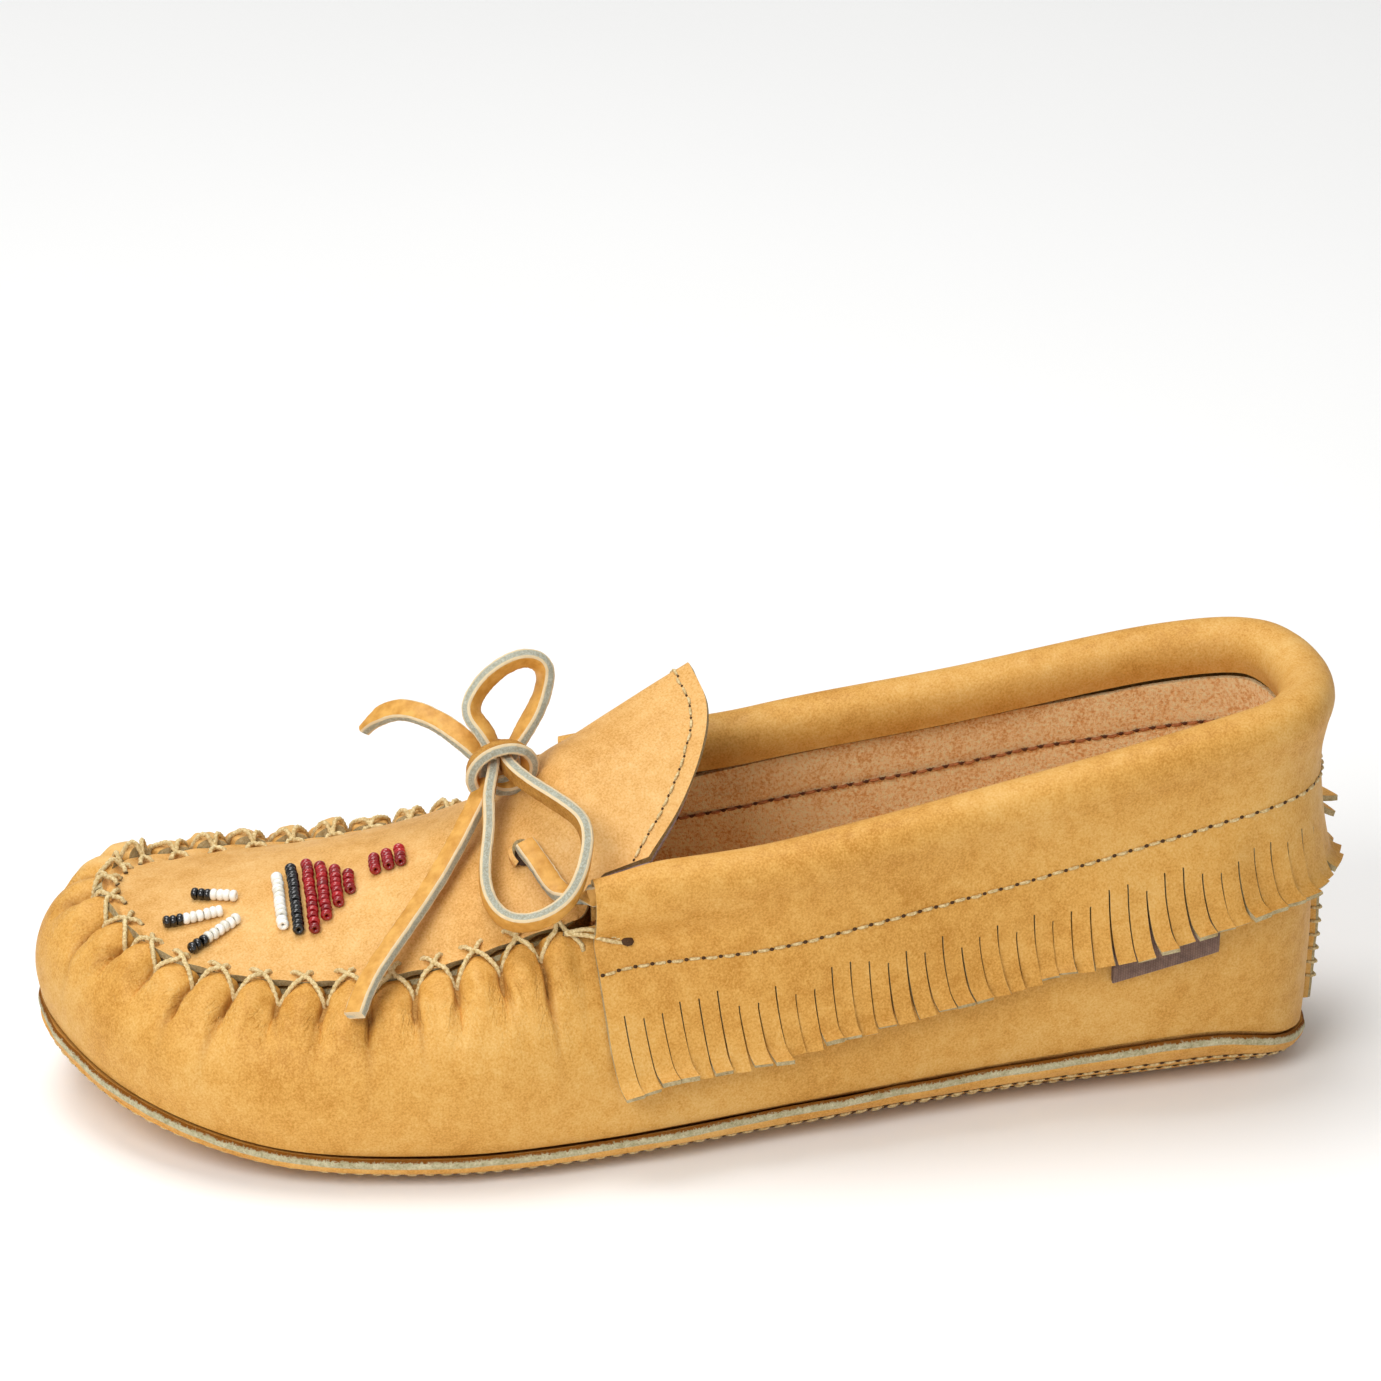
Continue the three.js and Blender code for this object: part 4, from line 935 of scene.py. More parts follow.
def lace_object(name, line, hint, seed=1, width=1.0):
    """A flat thong along a line, its cut edge kept towards the hint, with slightly uneven cut edges."""
    section, side_materials, core = lace_section()
    top, side = frames_along(line, hint)
    uneven = 1 + 0.05 * cloud(line, 5, seed) + 0.03 * cloud(line, 1.5, seed + 1)
    across = section[:, 0] * (width * uneven)[:, None]
    up = np.broadcast_to(section[:, 1], across.shape)
    fuzz = 1 + 0.05 * cloud(np.stack([across, up, 0 * up], -1) + line[:, None], 0.8, seed + 2)
    across, up = (across * fuzz)[..., None], (up * fuzz)[..., None]
    points = line[:, None] + across * side[:, None] + up * top[:, None]
    count = len(section)
    last = (len(line) - 1) * count
    caps = [range(count)[::-1], range(last, last + count)]
    faces = [*grid_faces(len(line), count, close_columns=True), *caps]
    kinds = [*np.tile(side_materials, len(line) - 1), 1, 1]
    return make_object(name, points, faces, [LACE, LACE_EDGE, LACE_BACK], kinds,
                       {"core": np.tile(core, len(line))}, sharp=40)


def eased(line, passes=30):
    """The line with its tight turns opened out, as limp leather lies; its ends stay where they are."""
    line = line.copy()
    for _ in range(passes):
        line[1:-1] = (line[:-2] + 2 * line[1:-1] + line[2:]) / 4
    return line


def free_lace(name, node, route, facing, before=(), after=(), seed=1, count=64, flared=0.0,
              pointed=False):
    """A loop or tail of the lace: it starts in the knot."""
    line = eased(curve_through(place_all([*before, *route, *after]), count))
    hint = spread(line, facing, flared) if flared else facing
    width = 1 - 0.6 * smooth(0.78, 1, np.linspace(0, 1, count)) if pointed else 1.0
    piece = lace_object(name, line, hint, seed, width)
    sewn_on(piece, "lace_leather", node)
    path = even_line(line, 32) * MM
    length = float(line_lengths(line)[-1] * MM)


def spread(line, facing, amount):
    """Directions for a loop's cut edge: towards facing, and outward from the loop's middle by amount."""
    facing = unit(np.array(facing, float))
    outward = line - line.mean(0)
    outward = unit(outward - np.sum(outward * facing, -1, keepdims=True) * facing)
    return unit(facing + amount * outward)


def make_laces():
    """The bow: two loops, two tails and the knot; and the run of the thong round the collar."""
    free_lace("loop_near", "lace_loop_near", NEAR_LOOP, (0.55, 0, 0.84),
              before=[(1.5, 161, 67.5), (5.6, 161.4, 66.2)], after=[(5.4, 158.6, 67.8), (1.5, 159, 67.5)],
              seed=1, count=120)
    free_lace("loop_upper", "lace_loop_upper", UPPER_LOOP, (0.9, -0.1, 0.4), flared=0.75,
              before=[(2, 160.5, 67)], after=[(1.5, 158.6, 67)], seed=2, count=100)
    free_lace("tail_near", "lace_tail_near", NEAR_TAIL, (0.62, 0.75, 0.23),
              before=[(3, 162.5, 64)], seed=3)
    free_lace("tail_far", "lace_tail_far", FAR_TAIL, (0.85, -0.11, -0.52),
              before=[(0, 162.5, 67.3)], seed=4, pointed=True)
    make_knot()
    make_lace_in_collar()
    make_strand_slit()


def make_knot():
    """The thong wrapped round the bow's middle; its cut edge and its mouth face the shoe's outer side."""
    axis = unit(np.array([0.93, 0.16, -0.12]))
    up = unit(np.array([0, 0, 1]) - axis[2] * axis)
    side = np.cross(axis, up)
    turns = np.radians(np.linspace(-75, 640, 200))
    inner = smooth(0.4, 0.62, np.linspace(0, 1, 200))
    along = mix(0.9 + 0.6 * np.sin(turns), -1.6, inner)
    radius = mix(KNOT_RADIUS + 0.35 * np.cos(2 * turns + 0.6), KNOT_INNER_RADIUS, inner)
    ring = side * np.cos(turns)[:, None] + up * np.sin(turns)[:, None]
    line = place(*KNOT_CENTRE) + ring * radius[:, None] + axis * along[:, None]
    tilt = unit(axis + 0.3 * ring * (1 - inner)[:, None])
    sewn_on(lace_object("knot_wrap", line, tilt, seed=5), "lace_leather", "lace_knot")


def make_strand_slit():
    """The round slit in the plug from which the lace's near strand comes, its curled-up lip, and a dark disc
    of painted shadow inside the slit.
    """
    middle = on_plug(18.2, 157.2, 0.1)
    angles = np.radians(np.linspace(15, 235, 30))
    fade = np.sin(np.linspace(0.25, np.pi - 0.25, 30))[:, None]
    radius = 2.7 + 0.3 * np.cos(angles)
    up = np.array([0.25, 0, 0.97])
    lip_rings, shadow_rings = [], []
    for lift, out in ((0.1, 0), (1.3, 0.1), (1.9, -0.5)):
        ring = spot(np.sin(angles) * (radius + out) * -0.9, np.cos(angles) * (radius + out))
        points = middle + ring + up * lift * fade
        points[:, 2] -= 0.45 * ring[:, 0]
        lip_rings.append(points)
    turn = np.linspace(0, 2 * np.pi, 24, endpoint=False)
    for size, lift in ((2.2, 0.12), (1.4, 0.16), (0.1, 0.16)):
        ring = spot(np.sin(turn) * size, np.cos(turn) * size * 1.1)
        ring[:, 2] = lift - 0.42 * ring[:, 0]
        shadow_rings.append(middle + ring)
    lip = sheet("slit_lip", np.stack(lip_rings, 1), 0.9, [PLUG, FLESH, EDGE], offset=0)
    # painted shadow: the dark disc in the slit
    hole = make_object("slit_shadow_disc", np.stack(shadow_rings), grid_faces(3, 24, close_columns=True), [SLIT_SHADOW_FINISH])
    for piece in (lip, hole):
        sewn_on(piece, "plug_leather")


def roll_middle(station):
    """How far out the collar's roll stands; it shifts outward at the throat."""
    return -outline(station, "inset") + THROAT_SHIFT * smooth(4, THROAT, from_heel(station))


def make_lace_in_collar():
    """The thong's hidden run round the collar, and the two strands in which it comes out of the plug."""
    stations = np.linspace(COLLAR_END, -COLLAR_END, 160)
    tunnel = beside(stations, roll_middle(stations) - 0.7, crest(stations) - 4.4)
    near = curve_through(place_all(NEAR_STRAND[::-1]), 24)
    far = curve_through(place_all(FAR_STRAND), 24)
    hints = [np.tile(hint, (len(run), 1))
             for run, hint in ((near, (0.0, 1.0, 0.0)), (tunnel, (0.0, 0.0, 1.0)), (far, (0.0, -1.0, 0.0)))]
    line = np.concatenate([near, tunnel, far])
    sewn_on(lace_object("lace_run", line, np.concatenate(hints), seed=6), "lace_leather", "lace_in_collar")


# ---- Sole ----
def ladder(ring, columns):
    """A grid across the inside of a ring that starts at the heel and has the toe at its middle."""
    half = len(ring) // 2
    k = np.arange(half + 1)
    outer, inner = ring[k], ring[-k % len(ring)]
    w = np.linspace(0, 1, columns + 1)[None, :, None]
    return outer[:, None] * (1 - w) + inner[:, None] * w


def weld(piece):
    """Joins doubled corners, so that a disc's ladder and its rings are one skin facing out."""
    mesh = bmesh.new()
    mesh.from_mesh(piece.data)
    bmesh.ops.remove_doubles(mesh, verts=mesh.verts, dist=0.01 * MM)
    bmesh.ops.dissolve_degenerate(mesh, dist=0.001 * MM, edges=mesh.edges)
    bmesh.ops.recalc_face_normals(mesh, faces=mesh.faces)
    mesh.to_mesh(piece.data)
    mesh.free()


def disc_object(name, rings, face_materials, materials, columns=24, attributes=None):
    """A closed disc: rings from the upper face over the rim to the lower face, and a ladder across each."""
    stack = np.stack(rings)
    ring_faces = grid_faces(len(rings), stack.shape[1], close_columns=True)
    index = np.repeat(face_materials, stack.shape[1])
    values = {key: np.repeat(value, stack.shape[1]) for key, value in (attributes or {}).items()}
    parts, kinds = [(stack, ring_faces, 0)], [index]
    for ring, kind in ((rings[0], face_materials[0]), (rings[-1], face_materials[-1])):
        grid = ladder(ring, columns)
        faces = grid_faces(*grid.shape[:2])
        parts.append((grid, faces, 0))
        kinds.append(np.full(len(faces), kind))
        values = {key: np.concatenate([value, np.zeros(grid.shape[0] * grid.shape[1])])
                  for key, value in values.items()}
    points, faces, _ = joined_meshes(parts)
    piece = make_object(name, points, faces, materials, np.concatenate(kinds), values)
    weld(piece)
    finish_shading(piece.data)
    return piece


def sole_side(stations, inside):
    """A ring of the sole's lower face: its edge rolls up round the foot, most of all at the toe."""
    rolled = mix(0.45, 1.15, smooth(6.2, 8.6, from_heel(stations))) * inside * math.exp(-inside / 5)
    return beside(stations, rolled - inside, underside(stations, inside))


def sole_rings(stations):
    """Rings from the upper face over the raw edge to the lower face, as (points, material, level)."""
    sway = 0.35 * cloud(beside(stations, 0, 0), 11, 3) + 0.2 * cloud(beside(stations, 0, 0), 4, 4)
    low, high = underside(stations, 0.5), sole_top(stations, 0.3)
    for inside in (SOLE_MARGIN, 9, 6, 3, 1.2):
        yield beside(stations, -inside, sole_top(stations, inside) - 0.1), 0, 0.0
    for level, out in ((0.97, -0.15), (0.88, 0.2), (0.74, 0.35), (0.58, 0.4), (0.46, 0.3)):
        yield beside(stations, out + sway, mix(low, high, level)), 1, level
    for level, out in ((0.38, 0.2), (0.26, 0.1), (0.14, 0), (0.04, -0.3)):
        yield beside(stations, out + sway, mix(low, high, level)), 0, 0.0
    for inside in (0.9, 1.5, 2.5, 3.6, 4.7, 6, 8, 10, 12, SOLE_MARGIN):
        groove = 0.25 * sum(bell((inside - row) / 0.5) for row in SOLE_ROWS.values())
        yield sole_side(stations, inside) + np.array((0, 0, groove)), 0, 0.0


def make_sole():
    """The outsole with its raw edge, and its two rows of stitches."""
    stations = ring_stations(110, 160)
    rings, kinds, levels = zip(*sole_rings(stations))
    piece = disc_object("sole", rings, kinds[:-1], [SOLE, SOLE_EDGE], attributes={"edge_height": levels})
    sewn_on(piece, "sole_leather", "outsole")
    for name, inside in SOLE_ROWS.items():
        line, deeper = (sole_side(stations, at)[1:] for at in (inside, inside + 1))
        normals = unit(np.cross(np.gradient(line, axis=0), deeper - line))
        normals *= np.where(normals[:, 2:] > 0, -1, 1)
        row = stitches(f"sole_stitches_{name}", line, normals, 2.3, 1.0, 0.28, 0.08)
        sewn_on(row, "thread", f"outsole_thread_{name}")


# ---- Wrap: the gathered wall ----
def crease_frame(phase, v):
    """Distance below the stitch hole, nearness to a valley (0 to 1), and distance aside from its crease."""
    valley = np.round(phase)
    below = np.maximum(0, HOLE_V - v) * WALL_LENGTH
    aside = (phase - valley) * PUCKER_PITCH
    return below, 1 - smooth(2.2, 3.6, np.abs(aside)), aside - below * 0.13 * np.sin(valley * 2.3 + 1)


def valley_reach(phase):
    """How far each valley's crease runs down the wall, in millimetres."""
    return 7.5 + 3.2 * np.sin(np.round(phase) * 1.7) + 1.2 * np.sin(np.round(phase) * 4.1 + 2)


def gather(station, v):
    """How far the wall stands out: ridges between stitch holes, and creases fanning out below each hole."""
    phase = pucker_phase(station)
    fade = smooth(0, 0.8, phase)
    swing = 1 + 0.16 * np.sin(phase * 2.4 + 1) + 0.1 * np.sin(phase * 5.1)
    ridge = np.abs(np.sin(np.pi * phase)) ** 0.55
    inner = (np.asarray(station) < 0) * smooth(0, 1.2, TOE - from_heel(station))
    up = smooth(0.42, 0.84, v) * (1 - 0.1 * smooth(0.93, 1, v))
    rise = up * (RIDGE_RISE * swing * ridge - VALLEY_DROP + INNER_RIM_RISE * inner)
    below, centred, leaning = crease_frame(phase, v)
    split = 0.35 * np.sin(below * 0.55 + np.round(phase) * 9)
    crease = centred * bell((leaning - split) / CREASE_WIDTH) * bell(below / valley_reach(phase))
    rise = rise - CREASE_DEPTH * crease
    angle = np.arctan2(leaning, below + 1.6)
    reach = smooth(0.2, 2.5, below) * bell(below / 10) * centred
    creases = 0.3 * np.cos(9 * angle + np.sin(np.round(phase) * 3.3) + below * 0.12) * reach
    folds = 0.35 * cloud(spot(phase * 2.6, v * 2.2), 1, 5) * smooth(0.2, 0.6, v)
    return fade * (rise + creases + folds)


def wrap_off(station, v):
    """The wall's whole relief, with the slow unevenness of soft hide."""
    base = wall_at(station, v)
    slow = 0.5 * cloud(base, 34, 6) + 0.18 * cloud(base, 11, 7)
    return gather(station, v) + slow * smooth(0, 0.15, v)


def wrap_surface(station, v, off=0):
    station, v = np.broadcast_arrays(np.asarray(station, float), v)
    return wall_at(station, v, wrap_off(station, v) + off)


def rim_out(station):
    """How far out the inside of the wall's rim stands."""
    return out_of(station, wall_at(station, 1, -WRAP_THICK))


def under_plug(stations, reach, lift):
    """The gathers' turned-in margin, which the plug's edge lies on."""
    turned = reach * smooth(0, 0.8, pucker_phase(stations))
    height = outline(stations, "top") + PLUG_STEP - PLUG_THICK - 0.2 + lift
    return beside(stations, rim_out(stations) - turned, height)


def wrap_section(stations, v):
    """The wrap's closed section at each station: up outside, over the rim, down inside, under the foot."""
    top = wrap_off(stations, np.array([[1.0]]))
    edge = [wall_at(stations, 1, mix(top, -WRAP_THICK, w)) for w in (0.15, 0.5, 0.85)]
    margin = [under_plug(stations, reach, lift) for reach, lift in ((1.2, 0), (3, 0), (3, -0.8), (1.2, -0.8))]
    inner = wall_at(stations, np.array([[1, 0.9, 0.75, 0.5, 0.25, 0.07]]), -WRAP_THICK)
    tuck = [beside(stations, -inside, sole_top(stations, inside) + lift)
            for inside, lift in ((4.5, 2), (WRAP_UNDER, 2), (WRAP_UNDER, 0.4), (4.5, 0.4), (1.5, 0.4))]
    return np.concatenate([wrap_surface(stations, v), *edge, *margin, inner, *tuck], 1)


def wrap_looks(stations, v):
    """The outer side's painted shade in its hollows, painted light on its ridges, its wrinkles, and its map
    of the creases that fan out.
    """
    relief = wrap_off(stations, v)
    phase = pucker_phase(stations)
    valley = np.round(phase)
    below, centred, leaning = crease_frame(phase, v)
    centred = centred * smooth(0, 0.8, phase)
    crease = bell(leaning / (0.42 + 0.015 * below)) * bell(below / (valley_reach(phase) * 1.3)) * centred
    looks = {
        # painted shade in the creases and low valleys, painted light on the highest ridges
        "painted_hollow_shade": np.clip(crease + 0.3 * smooth(-0.4, -2.2, relief) * smooth(0.5, 0.8, v), 0, 1),
        "painted_ridge_light": smooth(1.4, 2.8, relief),
        "wrinkled": smooth(2.5, 6, below) * bell(below / 13) * centred,
    }
    return looks, spot(np.arctan2(leaning, below + 1.2) * 4 + valley * 13, below * 0.13 + valley * 7)[..., :2]


def make_wrap():
    """The side leather, gathered round the toe, as one closed skin."""
    stations = ring_stations(130, PUCKERS * 18)[:, None]
    v = np.concatenate([np.linspace(0, 0.5, 16), np.linspace(0.5, 1, 34)[1:]])[None]
    grid = wrap_section(stations, v)
    rows, columns = grid.shape[:2]
    faces = grid_faces(rows, columns, close_rows=True, close_columns=True)
    rim_column = v.shape[1] - 1
    kinds = np.zeros((rows, columns), int)
    kinds[:, rim_column : rim_column + 4] = 1
    kinds[:, rim_column + 4 :] = 2
    looks, fan = wrap_looks(stations, v)
    pad = ((0, 0), (0, columns - v.shape[1]))
    values = {name: np.pad(look, pad) for name, look in looks.items()}
    piece = make_object("wrap", grid, faces, [UPPER, EDGE, FLESH], kinds.ravel(), values,
                        uv=np.pad(fan, (*pad, (0, 0))), uv_name="Fan")
    outer_faces = faces.reshape(rows, columns, 4)[:, :rim_column].reshape(-1, 4)
    if not faces_outward(grid.reshape(-1, 3), outer_faces):
        piece.data.flip_normals()
    return piece


def make_flange():
    """The raised back seam: two raw edges sewn together and standing out, a little uneven."""
    heights = np.linspace(FLANGE_LOW - 2.2, FLANGE_HIGH, 60)
    half = [(-1, -0.8), (-1.02, 1), (-1, 2.1), (-0.8, 2.7), (-0.12, 2.8)]
    profile = [*half, (0, 2.35), *((-side, off) for side, off in reversed(half))]
    columns = []
    for k, (side, off) in enumerate(profile):
        point = wall_at_height(np.zeros(60), heights, off + 0.25 * cloud(place(k, 0, heights), 5, 8))
        point[:, 0] += side * FLANGE_HALF + 0.15 * cloud(place(0, k, heights), 9, 9)
        point[:, 2] = heights
        columns.append(point)
    grid = np.stack(columns, 1)
    faces = turned(grid, grid_faces(*grid.shape[:2], close_columns=True))
    kinds = np.tile([0, 0, 1, 1, 1, 1, 1, 1, 0, 0, 0], len(heights) - 1)
    return make_object("heel_flange", grid, faces, [UPPER, EDGE], kinds)


def make_heel_stitches():
    """Whip stitches over the back seam's raw edge."""
    side = FLANGE_HALF + 0.1
    parts = []
    for z in np.arange(FLANGE_LOW + 2, FLANGE_HIGH - 1, 3.0):
        knots = [(-side, 0.9, -0.4), (-side - 0.15, 2, -0.2), (-side * 0.7, 3.1, 0), (0, 3.25, 0.3),
                 (side * 0.7, 3.1, 0.6), (side + 0.15, 2, 0.8), (side, 0.9, 1)]
        route = []
        for x, off, lift in knots:
            point = wall_at_height(0, z + lift, off)
            route.append((point[0] + x, point[1], z + lift))
        parts.append(thread_part(curve_through(route, 24), HEEL_THREAD_RADIUS, *HEEL_THREAD_TWIST, 6))
    sewn_on(thread_object("heel_stitches", parts), "thread", "heel_seam_thread")


def make_upper():
    sewn_on(make_wrap(), "upper_leather", "wrap_upper")
    sewn_on(make_flange(), "upper_leather")
    make_heel_stitches()


# ---- Plug and tongue ----
def seam_point(station):
    """The plug's edge at a station."""
    return beside(station, rim_out(station) - GAP - 0.1, outline(station, "top") + PLUG_STEP)


def ridge_height(t):
    """The height of the plug's middle."""
    knots, heights = PLUG_RIDGE.T
    i = np.clip(np.searchsorted(knots, t, side="right") - 1, 0, len(knots) - 2)
    w = np.clip((t - knots[i]) / (knots[i + 1] - knots[i]), 0, 1)
    around = [heights[np.clip(i + k, 0, len(knots) - 1)] for k in (-1, 0, 1, 2)]
    return catmull_rom(*around, w)


def arched(outer, inner, w):
    """Points from one edge of the plug to the other, over its crown."""
    point = mix(outer, inner, w[..., None])
    middle = (outer + inner) / 2
    crown = np.maximum(0, ridge_height(HEEL_Y - middle[..., 1]) - middle[..., 2])
    point[..., 2] += crown * (1 - (2 * w - 1) ** 2)
    return point


def plug_rows(count):
    """Stations along the plug's two edges, from the throat to the toe."""
    return even_stations(rim, THROAT, TOE, count), even_stations(rim, -THROAT, -TOE, count)


def column_places(columns):
    """Where columns stand across the plug, closer together at its edges."""
    return (1 - np.cos(np.linspace(0, np.pi, columns))) / 2


def plug_relief(points):
    """The slow unevenness of the plug's soft hide."""
    return PLUG_WAVE * cloud(points, 26, 11) + 0.12 * cloud(points, 7, 12)


def tongue_grid(rows, columns, drop=0.0):
    """The tongue from its fold to its free edge; the fold is as wide as the plug and narrows at once."""
    w = column_places(columns)
    outer_part = curve_through(place_all(TONGUE_EDGE[: TONGUE_CORNER + 1]), 260)
    inner_part = curve_through(place_all(TONGUE_EDGE[TONGUE_CORNER:]), 140)
    free = np.concatenate([outer_part, inner_part[1:]])
    lengths = line_lengths(free)
    edge = read_at(w, lengths / lengths[-1], free)
    outer, inner = seam_point(np.array(THROAT)), seam_point(np.array(-THROAT))
    narrow = (outer[0] + MIDDLE_X - mix(TONGUE_OUTER_X, TONGUE_INNER_X, w)) / (outer[0] - inner[0])
    ease = smooth(0.06, 0.42, rows)[:, None]
    across = mix(w, np.clip(narrow, 0, 1), ease)
    fold = arched(outer, inner, across)
    return mix(fold, edge[None], rows[:, None, None]) - np.array((0, 0, drop))


def stitch_pull(phase, inside):
    """How far the plug's edge is pulled down where the seam's stitches enter it."""
    return 0.75 * bell((inside - 1.6) / 1.5) * (0.45 + 0.55 * np.cos(2 * np.pi * phase))


def edge_push(outer):
    """Half a millimetre outward at each side of the plug, so that its edge rests on the gathers."""
    push = 0.55 * outward_of(outer)
    other = push * np.array([-1, 1, 1])
    w = np.linspace(0, 1, VAMP_COLUMNS)[None, :, None]
    return np.where(w < 0.5, push[:, None], other[:, None])


def make_vamp():
    """The plug and the tongue, which are one leather: it bends at the throat's fold."""
    outer, inner = plug_rows(PLUG_COUNT)
    plug = arched(seam_point(outer)[:, None], seam_point(inner)[:, None],
                  np.tile(column_places(VAMP_COLUMNS), (PLUG_COUNT + 1, 1)))
    grid = np.concatenate([plug[::-1], tongue_grid(np.linspace(0, 1, 46)[1:], VAMP_COLUMNS)])
    from_edge = np.minimum(
        np.linalg.norm(grid - grid[:, :1], axis=-1), np.linalg.norm(grid - grid[:, -1:], axis=-1))
    pull, lip = np.zeros(grid.shape[:2]), np.zeros(grid.shape[:2])
    plug_part = slice(0, len(plug))
    pull[plug_part] = stitch_pull(pucker_phase(outer)[::-1, None] + 0.5, from_edge[plug_part])
    lip[plug_part] = bell(from_edge[plug_part] / 1.3)
    grid[..., 2] += 0.45 * lip - pull
    grid[plug_part] += edge_push(outer)[::-1] * lip[plug_part, :, None]
    grid[..., 2] += plug_relief(grid)
    # painted shade in the dents where the seam's stitches pull the plug's edge down
    painted_hollow_shade = smooth(0.5, 1.0, pull) * 0.35
    piece = sheet("vamp", grid, PLUG_THICK, [PLUG, FLESH, EDGE], attributes={"painted_hollow_shade": painted_hollow_shade})
    across_fold(piece, "plug_leather", "plug", "tongue")


def make_tongue_lining():
    """The cloth under the tongue's free part."""
    grid = tongue_grid(np.linspace(0.2, 0.975, 30), 41, PLUG_THICK + 0.35)
    grid[..., 2] += PLUG_WAVE * cloud(grid, 26, 11)
    piece = sheet("tongue_backing", grid, TONGUE_LINING_THICK, [LINING] * 3, uv=grid[..., :2])
    across_fold(piece, "tongue_lining", "tongue_lining")


def make_tongue_stitches():
    """The row just inside the tongue's free edge; it stops short of both ends of that edge."""
    columns, kept = 241, slice(14, -14)
    fine = tongue_grid(np.linspace(0.5, 1, 60), columns)
    back = np.linalg.norm(fine - fine[-1:], axis=-1)
    row = np.argmin(np.abs(back - TONGUE_ROW), axis=0)
    line = fine[row, np.arange(columns)][kept]
    line[:, 2] += plug_relief(line)
    along_rows = np.gradient(fine, axis=0)[row, np.arange(columns)][kept]
    normals = unit(np.cross(np.gradient(line, axis=0), along_rows))
    normals *= np.where(normals[:, 2:] < 0, -1, 1)
    piece = stitches("tongue_stitches", line, normals, 2.2, 0.8, 0.3, hole=0.3)
    across_fold(piece, "thread", "tongue_thread")


def on_plug(x, t, off=0.0):
    """A point on the plug's top at x and t, lifted by off."""
    edges = [seam_point(stations) for stations in plug_rows(400)]
    outer, inner = (read_at(t, HEEL_Y - edge[:, 1], edge) for edge in edges)
    w = (outer[..., 0] + MIDDLE_X - x) / (outer[..., 0] - inner[..., 0])
    point = place(x, t, arched(outer, inner, w)[..., 2])
    point[..., 2] += plug_relief(point) + off
    return point


def seam_stitch(phase_from, phase_to, side):
    """A crossing stitch: from a hole in a valley of the gathers, over a ridge's shoulder, into the plug."""
    at = lambda w: station_of_phase(mix(phase_from, phase_to, w), side)
    hole = wrap_surface(at(0), 0.85, -0.5)
    neck = wrap_surface(at(0.06), 0.89, 0.55)
    shoulder = wrap_surface(at(0.3), 0.96, 0.7)
    over = wrap_surface(at(0.5), 1, 0.95)
    inward = lambda w, reach, lift: plug_inside(at(w), reach) + np.array([0, 0, lift])
    dive = [inward(0.66, 0.5, 0.75), inward(0.84, 1.7, 0.45), inward(0.98, 2.5, -0.7)]
    return [hole, neck, shoulder, over, *dive]


def plug_inside(station, reach):
    """A point on the plug a reach inside its edge."""
    edge = seam_point(station)
    opposite = seam_point(-station)
    w = np.array(reach / np.linalg.norm(opposite - edge))
    point = arched(edge, opposite, w)
    nx, nt = outline_normal(station)
    shift = np.array([-nx, nt]) * reach
    toe_ward = smooth(7.6, 8.6, from_heel(station))
    point[:2] = mix(point[:2], edge[:2] + shift, toe_ward)
    point[2] = mix(point[2], edge[2] + 0.3 * reach, toe_ward)
    return point


def make_plug_stitches():
    """The seam's crossing stitches, its tied ends and the holes these go into."""
    parts = []
    for side in (1, -1):
        for k in range(PUCKERS):
            for a, b in ((k, k + 0.78), (k + 1, k + 0.22)):
                wobble = random.normal(0, 0.03, 2)
                line = curve_through(seam_stitch(a + wobble[0] * 0.4, b + wobble[1], side), 40)
                parts.append(thread_part(line, SEAM_THREAD_RADIUS, *SEAM_THREAD_TWIST, 8))
    parts += [thread_part(line, TIED_THREAD_RADIUS, *SEAM_THREAD_TWIST, 10) for line in tied_ends()]
    parts += [tie_hole(side) for side in (1, -1)]
    sewn_on(thread_object("seam_stitches", parts), "thread", "plug_thread")


def tie_hole(side):
    """The hole in the flap that the seam's thread ends in, a disc of painted shade."""
    station = side * (THROAT - TIE_HOLE_BACK)
    height = crest(station) - TIE_HOLE_BELOW_CREST
    at, proud = (wall_at_height(station, height, off) for off in (2.5, 3.5))
    beyond = wall_at_height(station - 0.02 * side, height, 2.5)
    return painted_shade_disc(at, unit(beyond - at), unit(proud - at), 1.0)


def tie_point(side, back, below, rise, off):
    """A point on the flap: back from the throat, below the crest and off the wall."""
    station = side * (THROAT - back)
    return wall_at_height(station, crest(station) - below + rise, off)


def tied_ends():
    """At each side of the throat the seam's thread runs back in two strands to a hole in the flap."""
    lines = []
    for side in (1, -1):
        for lift in (-0.55, 0.55):
            start = wrap_surface(side * (THROAT + 0.1), 0.97, 0.8)
            over = tie_point(side, 0.02, 13.2, lift, 3.0)
            near = tie_point(side, 0.13, 14.6, lift, 2.9)
            hole = tie_point(side, TIE_HOLE_BACK, TIE_HOLE_BELOW_CREST, lift * 0.4, 1.4)
            lines.append(curve_through([start, over, near, hole], 30))
    return lines


# ---- Collar and fringe ----
def tab_lift(station):
    """How much the woven tab lifts the fringe that hangs over it."""
    return TAB_LIFT * smooth(TAB_FROM - TAB_EASE, TAB_FROM, station) * (
        1 - smooth(TAB_TO, TAB_TO + TAB_EASE, station))


def flare(station):
    """How far the fringe's tips stand off the wall, most of all at the heel."""
    return 1.6 + 2 * (1 - smooth(0, 1.5, np.abs(station)))


